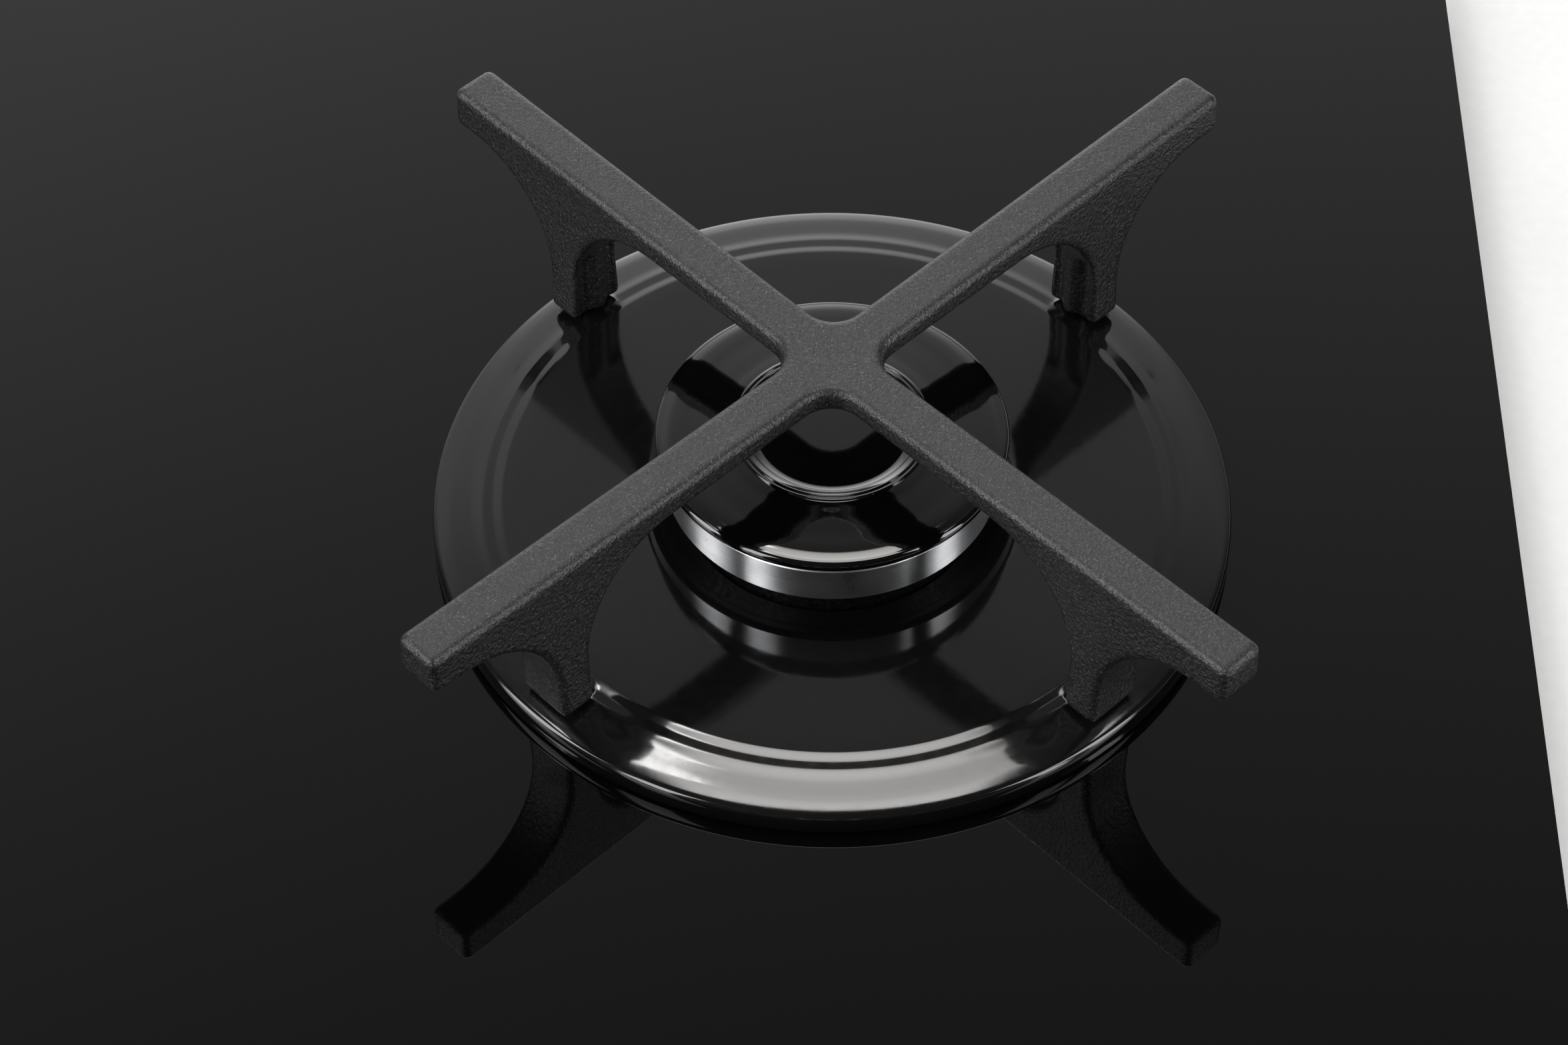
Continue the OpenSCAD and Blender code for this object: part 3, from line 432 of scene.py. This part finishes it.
def probe_look():
    """Metal of a flame probe, tinted straw and brown in patches by heat."""
    m = Look("probe_metal", (0.6, 0.42, 0.27), 0.32, 1.0)
    m.color(m.mix(m.ramp(m.noise(3, detail=3), 0.3, 0.7), (0.62, 0.46, 0.3), (0.42, 0.30, 0.28)))
    m.patchy_rough(0.9, 3, 0.25, 0.42)
    m.bump(m.noise(0.2, detail=2, stretch=(1.0, 1.0, 0.1)), 0.006, 0.5)
    return m.mat


LOOKS = {
    "cast_iron_enamel": cast_iron_look(),
    "black_enamel": enamel_look("black_enamel", (0.0042, 0.0042, 0.0043), 0.0012, 0.09, 1.56),
    "black_enamel_cap": enamel_look("black_enamel_cap", (0.0017, 0.0014, 0.0014), 0.0006, 0.05, 1.58),
    "turned_aluminium": turned_metal_look(),
    "cast_aluminium": cast_metal_look("cast_aluminium", (0.50, 0.51, 0.53), 0.48),
    "knob_plastic": plastic_look("knob_plastic", (0.018, 0.018, 0.02), 0.42),
    "tap_brass": machined_look("tap_brass", (0.70, 0.52, 0.24), 0.3),
    "injector_brass": machined_look("injector_brass", (0.76, 0.58, 0.28), 0.24),
    "plated_steel": machined_look("plated_steel", (0.66, 0.67, 0.68), 0.3),
    "spring_steel": machined_look("spring_steel", (0.55, 0.56, 0.58), 0.28),
    "aluminium_pipe": machined_look("aluminium_pipe", (0.70, 0.71, 0.73), 0.34),
    "manifold_alloy": machined_look("manifold_alloy", (0.66, 0.67, 0.69), 0.4),
    "black_glass": glass_look(),
    "foam_seal": rubber_look("foam_seal", (0.045, 0.045, 0.048), 0.9, 0.8),
    "galvanised_sheet": sheet_metal_look(),
    "graphite_gasket": rubber_look("graphite_gasket", (0.08, 0.08, 0.085), 0.75, 0.5),
    "seal_rubber": rubber_look("seal_rubber", (0.014, 0.014, 0.015), 0.6, 0.6),
    "plug_ceramic": ceramic_look(),
    "probe_metal": probe_look(),
    "module_plastic": plastic_look("module_plastic", (0.70, 0.69, 0.64), 0.5, 0.03),
}
node_slot = {part["node"]: part["material_slot"] for part in frame["record"]["subparts"]}
for node, obj in frame["nodes"].items():
    for slot in obj.material_slots:
        slot.material = LOOKS[node_slot[node]]


# ---------------------------------------------------------------- pan supports
SUPPORT_STEP = 0.62  # grid of the mesh
support_low, support_high = corners("pan_support_rear_right")
FOOT_Z = support_low[2] - GLASS_TOP
ARM_LENGTH = 105.7  # from the middle to the tip
ARM_TIP_TOP = support_high[2] - GLASS_TOP
HUB_DIP = 1.75  # how far the middle lies under the tips
HUB_TOP = ARM_TIP_TOP - HUB_DIP
SLOPE = HUB_DIP / ARM_LENGTH
ARM_HALF, FOOT_HALF = 4.95, 6.5  # half the thickness at the top and at the foot
ARM_DEPTH, TIP_DEPTH = 5.2, 9.2  # height of the bar inside the leg and at its tip
LEG_IN, LEG_OUT = 69.3, 77.3
SWEEP_R, SWEEP_POINTS = 22.5, 22  # curves from the leg into the bar
HUB_FILLET_R, HUB_REACH = 6.5, 16
EDGE_R = 1.7
# a half-round rib between two shallow grooves runs down the inner face of each leg
RIB_R, RIB_IN, RIB_LIFT, RIB_TOP, RIB_BLEND = 2.2, 1.0, 1.2, 25.0, 0.7
GROOVE_R, GROOVE_OUT, GROOVE_ACROSS, GROOVE_BLEND = 1.25, 0.5, 3.6, 0.6


def polygon_distance(points, x, y):
    """Signed distance of grid points to a closed outline, negative inside."""
    p = np.asarray(points, float)
    q = np.roll(p, -1, axis=0)
    best = np.full(x.shape, 1e9)
    inside = np.zeros(x.shape, bool)
    for (ax, ay), (bx, by) in zip(p, q):
        ex, ey = bx - ax, by - ay
        wx, wy = x - ax, y - ay
        t = np.clip((wx * ex + wy * ey) / (ex * ex + ey * ey + 1e-12), 0, 1)
        best = np.minimum(best, (wx - ex * t) ** 2 + (wy - ey * t) ** 2)
        crosses = ((ay <= y) & (by > y)) | ((by <= y) & (ay > y))
        side = ex * (y - ay) - ey * wx
        inside ^= crosses & ((side > 0) == (by > ay))
    return np.where(inside, -1, 1) * np.sqrt(best)


def meet(a, b, edge):
    """Distance to where two solids, each shrunk by edge, meet, with that edge rounded."""
    return np.hypot(np.maximum(a, 0), np.maximum(b, 0)) + np.minimum(np.maximum(a, b), 0) - edge


def blend_min(a, b, k):
    """The lesser of two distances, with a fillet where they are within k of each other."""
    h = np.clip(0.5 + 0.5 * (b - a) / k, 0, 1)
    return b + (a - b) * h - k * h * (1 - h)


def arm_outline(e):
    """Side view of an arm and its leg, drawn in by e all round."""
    under = HUB_TOP - ARM_DEPTH
    tip_under = ARM_TIP_TOP - TIP_DEPTH
    inner = (LEG_IN - SWEEP_R, under - SWEEP_R)
    outer = (LEG_OUT + SWEEP_R, tip_under - SWEEP_R)
    back = -40.0
    return (
        [(back, HUB_TOP + back * SLOPE - e)]
        + [(ARM_LENGTH - e, ARM_TIP_TOP - e), (ARM_LENGTH - e, tip_under + e)]
        + arc(outer, SWEEP_R + e, 90, 180, SWEEP_POINTS)
        + [(LEG_OUT - e, FOOT_Z + e), (LEG_IN + e, FOOT_Z + e)]
        + arc(inner, SWEEP_R + e, 0, 90, SWEEP_POINTS)
        + [(back, under + e)]
    )


def side_table():
    """Distance to the drawn-in side view, tabled on a fine grid and read by interpolation."""
    step = 0.25
    r = np.arange(-6, 116, step)
    z = np.arange(0, 56, step)
    grid = polygon_distance(arm_outline(EDGE_R), *np.meshgrid(r, z, indexing="ij"))

    def read(rr, zz):
        i = np.clip((rr - r[0]) / step, 0, len(r) - 1.001)
        k = np.clip((zz - z[0]) / step, 0, len(z) - 1.001)
        i0, k0 = i.astype(int), k.astype(int)
        fr, fz = i - i0, k - k0
        return (
            grid[i0, k0] * (1 - fr) * (1 - fz) + grid[i0 + 1, k0] * fr * (1 - fz)
            + grid[i0, k0 + 1] * (1 - fr) * fz + grid[i0 + 1, k0 + 1] * fr * fz
        )

    return read


side_distance = side_table()


def support_distance(u, v, z):
    """Signed distance to the support; u and v run along the arms from the middle."""
    u, v = np.abs(u), np.abs(v)
    half = ARM_HALF + (HUB_TOP - z) * (FOOT_HALF - ARM_HALF) / (HUB_TOP - FOOT_Z) - EDGE_R
    a, b = u - half, v - half
    arms = np.minimum(meet(side_distance(u, z), b, EDGE_R), meet(side_distance(v, z), a, EDGE_R))
    far, across = np.maximum(u, v), np.minimum(u, v)
    fillet = HUB_FILLET_R + EDGE_R
    plan = np.maximum(fillet, np.minimum(a, b))
    plan = plan - np.hypot(np.maximum(fillet - a, 0), np.maximum(fillet - b, 0))
    top = z - (HUB_TOP + SLOPE * far - EDGE_R)
    low = (HUB_TOP - ARM_DEPTH + EDGE_R) - z
    hub = np.maximum(meet(plan, np.maximum(top, low), EDGE_R), far - HUB_REACH)
    rib = np.hypot(far - LEG_IN - RIB_IN, across) - RIB_R
    rib = np.maximum(rib, np.maximum(z - RIB_TOP, FOOT_Z + RIB_LIFT - z))
    groove = np.hypot(far - LEG_IN + GROOVE_OUT, across - GROOVE_ACROSS) - GROOVE_R
    groove = np.maximum(groove, z - RIB_TOP)
    body = blend_min(np.minimum(arms, hub), rib, RIB_BLEND)
    return -blend_min(-body, groove, GROOVE_BLEND)


def surface_net(distance, low, high, step):
    """Meshes the zero level of distance(x, y, z) inside a box, with quads on a grid."""
    axis = [np.arange(a, b + step, step) for a, b in zip(low, high)]
    d = distance(*np.meshgrid(*axis, indexing="ij", sparse=True))
    inside = d < 0
    shape = tuple(n - 1 for n in d.shape)
    offsets = [np.array(a) for a in np.ndindex(2, 2, 2)]
    count = sum(inside[tuple(slice(o, o + n) for o, n in zip(a, shape))].astype(int) for a in offsets)
    cells = np.argwhere((count > 0) & (count < 8))
    index = np.full(shape, -1)
    index[tuple(cells.T)] = np.arange(len(cells))
    # each cell's point starts in the middle of the places where the surface crosses its edges
    total, hits = np.zeros((len(cells), 3)), np.zeros(len(cells))
    for a in offsets:
        for ax in range(3):
            if a[ax]:
                continue
            b = a.copy()
            b[ax] = 1
            da, db = d[tuple((cells + a).T)], d[tuple((cells + b).T)]
            cross = (da < 0) != (db < 0)
            t = np.where(cross, da / np.where(cross, da - db, 1), 0)
            point = a + (b - a) * t[:, None]
            total += point * cross[:, None]
            hits += cross
    verts = (cells + total / hits[:, None]) * step + np.array([a[0] for a in axis])
    # then it moves onto the surface, down the slope of the distance
    for _ in range(3):
        h = step * 0.2
        here = distance(*verts.T)
        slope = [distance(*(verts + h * e).T) - distance(*(verts - h * e).T) for e in np.eye(3)]
        slope = np.stack(slope, 1)
        slope /= np.linalg.norm(slope, axis=1)[:, None] + 1e-9
        verts = verts - slope * np.clip(here, -step / 2, step / 2)[:, None]
    faces = []
    for ax in range(3):
        b, c = [n for n in range(3) if n != ax]
        first = np.take(inside, range(d.shape[ax] - 1), ax)
        second = np.take(inside, range(1, d.shape[ax]), ax)
        edges = np.argwhere(first != second)
        ok = (edges[:, b] > 0) & (edges[:, c] > 0) & (edges[:, b] < shape[b]) & (edges[:, c] < shape[c])
        edges = edges[ok]
        quad = []
        for ob, oc in ((1, 1), (0, 1), (0, 0), (1, 0)):
            cell = edges.copy()
            cell[:, b] -= ob
            cell[:, c] -= oc
            quad.append(index[tuple(cell.T)])
        quad = np.stack(quad, 1)
        flip = inside[tuple(edges.T)] == (ax == 1)
        quad[flip] = quad[flip][:, ::-1]
        faces.append(quad)
    return verts, np.vstack(faces)


reach = ARM_LENGTH + 1.5
verts, faces = surface_net(
    support_distance, (-reach, -reach, FOOT_Z - 1), (reach, reach, ARM_TIP_TOP + 1), SUPPORT_STEP)
turn = math.radians(45)
verts = verts @ np.array([[math.cos(turn), math.sin(turn), 0], [-math.sin(turn), math.cos(turn), 0], [0, 0, 1]])
support_mesh = mesh_of("support_rear_right", verts, faces)  # shared by all four
for place in PLACES:
    piece = add_mesh(f"support_{place}", support_mesh, f"support_{place}", "cast_iron_enamel", axes[place])
    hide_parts(f"pan_support_{place}")


# ---------------------------------------------------------------- burner pans
PAN_T = 1.0
PAN_R = 80.0
PAN_FLOOR = FOOT_Z
PAN_DIP = 2.0  # how far the floor sinks beside the crown
PAN_STEPS = 480
PAN_SHARP = 50
CROWN_TO_HOLE = 3.7
FLOOR_FROM_CROWN, FLOOR_OUT = 8.5, 62
HEM_LOW, HEM_ROUND, HEM_TOP = 0.6, 0.15, 3.0  # the edge's lower end, over the glass
PAD_HALF, PAD_OUT = 3.9, 74.8  # half the width of a pad and how far out it ends
PAD_FALL, PAD_BLEND = 0.5, 0.25
PAD_FROM, PAD_FADE = 66.5, 2  # the rim turns into the pad from here on, over this length
PROBE_FROM_CROWN = 6.0
PROBE_HOLE_R = 3.4
PROBE_SPREAD = 23  # degrees to either side of the rear
PROBE_CUT = (-6, 4)  # ends of the cutters, from the floor
# radius and outward fall in degrees: the rim is a step, a wide band and a rolled edge
RIM_FALL = [
    (65.6, 0), (66.2, 9), (66.8, 10.5), (67.6, 10), (68.0, 3.0), (69.5, 2.5), (70.0, 9.5),
    (70.8, 11), (71.6, 9.5), (72.6, 6.8), (74.5, 6.5), (76.2, 7.4), (77.0, 10), (78.5, 12.5),
    (78.9, 16), (79.3, 28), (79.6, 45), (79.85, 66), (80.0, 84),
]
# distance from the crown's wall, and share of the dip under the floor
DIP_SHARE = [(-1.0, 1.0), (0.8, 0.75), (2.2, 0.38), (3.6, 0.14), (5.2, 0.025), (6.5, 0.0)]


def rim_profile():
    """Depth of the rim under the pan's floor, found by adding up its fall; finer towards the edge."""
    steps = ((65.6, 79.2, 0.2), (79.2, 79.85, 0.08), (79.85, 80.001, 0.03))
    r = np.concatenate([np.arange(*step) for step in steps])
    slope = np.tan(np.radians(np.interp(r, *zip(*RIM_FALL))))
    depth = np.concatenate([[0], np.cumsum(np.diff(r) * (slope[1:] + slope[:-1]) / 2)])
    return [(float(a), float(b)) for a, b in zip(r, depth)]


def pad_warp(upper_count):
    """Makes the warp of a pan's outline, whose first upper_count points are its upper skin.

    The four pads under the feet stay level with the floor where the rim falls away beside them.
    """
    def warp(r, z, angle):
        off_arm = angle % (math.pi / 2) - math.pi / 4
        along, across = r * np.cos(off_arm), r * np.sin(off_arm)
        under = np.where(np.arange(len(r))[:, None] >= upper_count, PAN_T, 0)
        side = np.maximum(np.abs(across) - PAD_HALF + under / 2, 0)
        end = np.maximum(along - PAD_OUT + under, 0)
        pad = PAN_FLOOR - under - PAD_FALL * side - PAD_FALL * side**2 - PAD_FALL * end - PAD_FALL * end**2
        raised = z + (-blend_min(-z, -pad, PAD_BLEND) - z) * np.clip((r - PAD_FROM) / PAD_FADE, 0, 1)
        # the floor and the end of the edge stay
        return r, np.where((r > 64) & (z > 2.5), raised, z)

    return warp


def cut_probe_holes(pan, crown_r):
    """Cuts the holes for the spark plug and the flame probe out of a pan."""
    points, faces = [], []
    for way in (90 - PROBE_SPREAD, 90 + PROBE_SPREAD):
        centre = arc((0, 0), crown_r + PROBE_FROM_CROWN, way, way, 1)[0]
        ring = arc(centre, PROBE_HOLE_R, 0, 360, 49)[:-1]
        start, n = len(points), len(ring)
        points += [(x, y, PAN_FLOOR + end) for end in PROBE_CUT for x, y in ring]
        faces += [[start + i, start + (i + 1) % n, start + n + (i + 1) % n, start + n + i] for i in range(n)]
        faces += [[start + i for i in reversed(range(n))], [start + n + i for i in range(n)]]
    mesh = mesh_of("probe_cutter", points, faces)
    cutter = bpy.data.objects.new("probe_cutter", mesh)
    cutter.location = pan.location
    bpy.context.scene.collection.objects.link(cutter)
    cut = pan.modifiers.new("probe_holes", "BOOLEAN")
    cut.operation, cut.object, cut.solver = "DIFFERENCE", cutter, "EXACT"
    result = bpy.data.meshes.new_from_object(pan.evaluated_get(bpy.context.evaluated_depsgraph_get()))
    pan.modifiers.clear()
    pan.data = result
    bpy.data.objects.remove(cutter)
    bpy.data.meshes.remove(mesh)
    shade_smooth(result, PAN_SHARP)


pan_rim = rim_profile()
for place in PLACES:
    crown_r = half_width(f"burner_crown_{place}")
    hole_r = crown_r - CROWN_TO_HOLE
    low = PAN_FLOOR - PAN_DIP
    dip = [(crown_r + d, PAN_FLOOR - share * PAN_DIP) for d, share in DIP_SHARE]
    upper = [(hole_r, low - 0.8), (hole_r + 0.1, low - 0.2), (hole_r + 0.4, low)] + spline(dip, 4)
    upper += [(r, PAN_FLOOR) for r in np.linspace(crown_r + FLOOR_FROM_CROWN, FLOOR_OUT, 4)]
    upper += [(r, PAN_FLOOR - fall) for r, fall in pan_rim]
    hem_in = PAN_R - PAN_T
    under = [(PAN_R, HEM_LOW + HEM_ROUND), (PAN_R - HEM_ROUND, HEM_LOW), (hem_in + HEM_ROUND, HEM_LOW),
             (hem_in, HEM_LOW + HEM_ROUND), (hem_in, HEM_TOP)]
    under += [(r - 0.35, PAN_FLOOR - fall - PAN_T) for r, fall in reversed(pan_rim[::4]) if r < 78.9]
    under += [(r, z - PAN_T) for r, z in reversed(dip)] + [(hole_r, low - PAN_T)]
    verts, faces = turned(upper + under, PAN_STEPS, pad_warp(len(upper)))
    pan = add_mesh(f"pan_{place}", mesh_of(f"pan_{place}", verts, faces), "hob", "black_enamel", axes[place],
                   PAN_SHARP)
    cut_probe_holes(pan, crown_r)
    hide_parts(f"drip_pan_{place}")


# ---------------------------------------------------------------- burner caps
CAP_STEPS = 320
CAP_SHARP = 60
CAP_LOW = corners("burner_cap_rear_right")[0][2] - GLASS_TOP
CAP_SEAT = CAP_LOW + 1.5
CAP_FACE = CAP_LOW + 3.98  # beside the ring
CAP_DISH = CAP_FACE - 1.25
NOSE_R, NOSE_Z = 1.27, CAP_LOW + 1.80  # the rounded edge
RING_SHARE = 0.5485  # the ring's radius, as a share of the cap's
BEAD_R, BEAD_SINK, BEAD_GAP = 0.46, 0.26, 0.92  # the ring's two beads
DISH_R, DISH_IN = 4.47, 4.99  # the curve from the dish up to the ring
SPIGOT_OUT, SPIGOT_IN, RECESS_OUT = 7.5, 9.1, 4.14  # in from the cap's edge
# distance in from the edge, and depth under the face
CAP_SLOPE = [(10.0, 0.31), (7.0, 0.45), (4.6, 0.53), (2.9, 0.64), (1.9, 0.80), (1.25, 0.94)]

for place in PLACES:
    r = half_width(f"burner_cap_{place}")
    ring = r * RING_SHARE
    dish = [(0, CAP_DISH), (ring * 0.4, CAP_DISH)]
    dish += arc((ring - DISH_IN, CAP_DISH + DISH_R), DISH_R, -89, -48, 16)
    beads = arc((ring - BEAD_GAP, CAP_FACE - BEAD_SINK), BEAD_R, 140, 45, 9)
    beads += arc((ring, CAP_FACE - BEAD_SINK), BEAD_R, 135, 40, 9)
    edge = [(ring + 0.62, CAP_FACE), (ring + 1.5, CAP_FACE - 0.06), (ring + 3.0, CAP_FACE - 0.18)]
    edge = spline(edge + [(r - d, CAP_FACE - depth) for d, depth in CAP_SLOPE], 8)
    top = dish + beads + edge + arc((r - NOSE_R, NOSE_Z), NOSE_R, 75, -95, 24)
    under = [(r - 2.2, CAP_LOW + 0.62), (r - RECESS_OUT + 0.3, CAP_LOW + 1.2), (r - RECESS_OUT, CAP_SEAT),
             (r - SPIGOT_OUT, CAP_SEAT), (r - SPIGOT_OUT, CAP_LOW), (r - SPIGOT_IN, CAP_LOW),
             (r - SPIGOT_IN, CAP_SEAT), (0, CAP_SEAT)]
    verts, faces = turned(top + under, CAP_STEPS)
    cap = add_mesh(f"cap_{place}", mesh_of(f"cap_{place}", verts, faces), f"cap_{place}", "black_enamel_cap",
                   axes[place], CAP_SHARP)
    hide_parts(f"burner_cap_{place}")


# ---------------------------------------------------------------- stage, camera and light
def stage_worktop():
    """Pale worktop with the cut-out that the hob hangs in."""
    cut_x, cut_y, far = 280, 245, 2600
    outer = [(-far, -far), (far, -far), (far, far), (-far, far)]
    inner = [(-cut_x, -cut_y), (cut_x, -cut_y), (cut_x, cut_y), (-cut_x, cut_y)]
    verts = [(x, y, 0.0) for x, y in outer + inner]
    faces = [(i, (i + 1) % 4, 4 + (i + 1) % 4, 4 + i) for i in range(4)]
    mesh = mesh_of("worktop", verts, faces)
    m = Look("worktop_surface", (0.80, 0.80, 0.80), 0.55)
    m.color(m.mix(m.ramp(m.noise(3, detail=4), 0.3, 0.7), (0.78, 0.78, 0.78), (0.81, 0.81, 0.805)))
    m.bump(m.noise(0.8, detail=2), 0.02, 0.3)
    mesh.materials.append(m.mat)
    obj = bpy.data.objects.new("worktop", mesh)
    bpy.context.scene.collection.objects.link(obj)


stage_worktop()

IMAGE_W = 2352  # the photograph's width in pixels
SENSOR = 36.0
FOCAL_PX = 5860.1
CAMERA_FROM_BURNER = (2.69, -509.69, 599.46)
PITCH, YAW, ROLL = (math.radians(v) for v in (49.795, 1.383, -0.460))
cam_data = bpy.data.cameras.new("camera")
cam_data.sensor_width = SENSOR
cam_data.sensor_fit = "HORIZONTAL"
cam_data.lens = FOCAL_PX * SENSOR / IMAGE_W
cam_data.clip_start, cam_data.clip_end = 0.02, 50
camera = bpy.data.objects.new("camera", cam_data)
forward = Vector((-math.sin(YAW) * math.cos(PITCH), math.cos(YAW) * math.cos(PITCH), -math.sin(PITCH)))
right0 = Vector((math.cos(YAW), math.sin(YAW), 0))
up0 = right0.cross(forward)
right = right0 * math.cos(ROLL) + up0 * math.sin(ROLL)
up = up0 * math.cos(ROLL) - right0 * math.sin(ROLL)
eye = (Vector(axes["rear_right"]) + Vector(CAMERA_FROM_BURNER)) * MM
camera.matrix_world = Matrix((
    (right.x, up.x, -forward.x, eye.x),
    (right.y, up.y, -forward.y, eye.y),
    (right.z, up.z, -forward.z, eye.z),
    (0, 0, 0, 1)))
bpy.context.scene.collection.objects.link(camera)
bpy.context.scene.camera = camera


LIGHT_DISTANCE = 6.0  # in metres, as are the sizes of the lights


def softbox(name, azimuth, elevation, width, height, radiance):
    """A flat light that faces the rear right burner. Azimuth is counted from the front, to the right."""
    target = Vector(axes["rear_right"]) * MM
    a, e = math.radians(azimuth), math.radians(elevation)
    way = Vector((math.sin(a) * math.cos(e), -math.cos(a) * math.cos(e), math.sin(e)))
    data = bpy.data.lights.new(name, "AREA")
    data.shape = "RECTANGLE"
    data.size, data.size_y = width, height
    data.energy = radiance * math.pi * width * height
    obj = bpy.data.objects.new(name, data)
    obj.location = target + way * LIGHT_DISTANCE
    obj.rotation_mode = "QUATERNION"
    obj.rotation_quaternion = way.to_track_quat("Z", "Y")
    obj.visible_camera = False
    bpy.context.scene.collection.objects.link(obj)


def light_patch(name, azimuth, elevation, radiance):
    """A light that fills a patch of the sky, given as (low, high) angles in degrees."""
    width, height = (
        2 * LIGHT_DISTANCE * math.tan(math.radians((high - low) / 2)) for low, high in (azimuth, elevation))
    softbox(name, sum(azimuth) / 2, sum(elevation) / 2, width, height, radiance)


light_patch("light_left", (-85, -68), (4, 50), 8)
light_patch("light_front_left", (-50, -37), (4, 50), 8)
light_patch("light_front_right", (50, 58), (4, 50), 7)
light_patch("light_right", (64, 77), (4, 50), 7)
softbox("light_high_left", -150, 66, 1.15, 0.45, 14)
softbox("light_high_side", -112, 63, 1.3, 0.4, 12)
softbox("light_high_right", 122, 64, 1.3, 0.4, 7)

# light of the wall behind the object, by the sine of the elevation
WALL_LIGHT = [
    (0.0, 3.0), (0.30, 3.0), (0.39, 2.5), (0.454, 1.75), (0.53, 1.2), (0.588, 0.98), (0.643, 0.80),
    (0.69, 0.63), (0.766, 0.39), (0.80, 0.30), (0.839, 0.22), (0.89, 0.16), (1.0, 0.12),
]
WALL_BESIDE = 0.62  # the most light from the wall to either side of its middle
NEAR_SIDE = (0.07, 0.07, 0.07)
OVERHEAD_COLOR = (1.0, 0.985, 0.96)
SEEN_WALL = (0.93, 0.93, 0.93)


def studio_world():
    """Soft studio: a pale wall behind that fades upwards, one soft light overhead, and dark at the camera's side.

    The camera itself sees a plain pale wall.
    """
    world = bpy.data.worlds.new("studio")
    bpy.context.scene.world = world
    world.use_nodes = True
    w = Graph(world.node_tree)
    x, y, z = w.split(w.node("ShaderNodeTexCoord").outputs["Generated"])
    behind = w.curve(z, WALL_LIGHT)
    level = w.math("SQRT", w.math("MAXIMUM", w.math("SUBTRACT", 1.0, w.math("MULTIPLY", z, z)), 0.0001))
    turn = w.math("DIVIDE", y, level)
    beside = w.math("MINIMUM", behind, WALL_BESIDE)
    wall = w.mix(w.ramp(turn, 0.90, 0.985, soft=True), beside, behind)
    sky = w.mix(w.ramp(turn, 0.35, 0.95, soft=True), NEAR_SIDE, wall)
    # the overhead light is a soft-edged box on a level plane
    up = w.math("MAXIMUM", z, 0.05)
    across, along = w.math("DIVIDE", x, up), w.math("DIVIDE", y, up)
    side_edge = w.ramp(w.math("ABSOLUTE", across), 0.15, 0.23, 1.0, 0.0, soft=True)
    near_edge = w.ramp(along, 0.19, 0.23, soft=True)
    far_edge = w.ramp(along, 0.49, 0.57, 1.0, 0.0, soft=True)
    box = w.math("MULTIPLY", side_edge, w.math("MULTIPLY", near_edge, far_edge))
    glow = w.math("MULTIPLY", box, w.ramp(along, 0.2, 0.55, 10.0, 4.2))
    overhead = w.mix(glow, (0, 0, 0), OVERHEAD_COLOR)
    overhead.node.clamp_factor = False
    # the sky is brighter to the left
    tilted = w.node("ShaderNodeVectorMath", operation="SCALE")
    w.link(sky, tilted.inputs[0])
    w.link(w.ramp(x, -0.5, 0.5, 1.4, 0.6), tilted.inputs["Scale"])
    total = w.node("ShaderNodeVectorMath", operation="ADD")
    w.link(tilted.outputs[0], total.inputs[0])
    w.link(overhead, total.inputs[1])
    seen = w.node("ShaderNodeLightPath").outputs["Is Camera Ray"]
    w.link(w.mix(seen, total.outputs[0], SEEN_WALL), w.tree.nodes["Background"].inputs["Color"])


studio_world()
bpy.context.scene.view_settings.view_transform = "Standard"
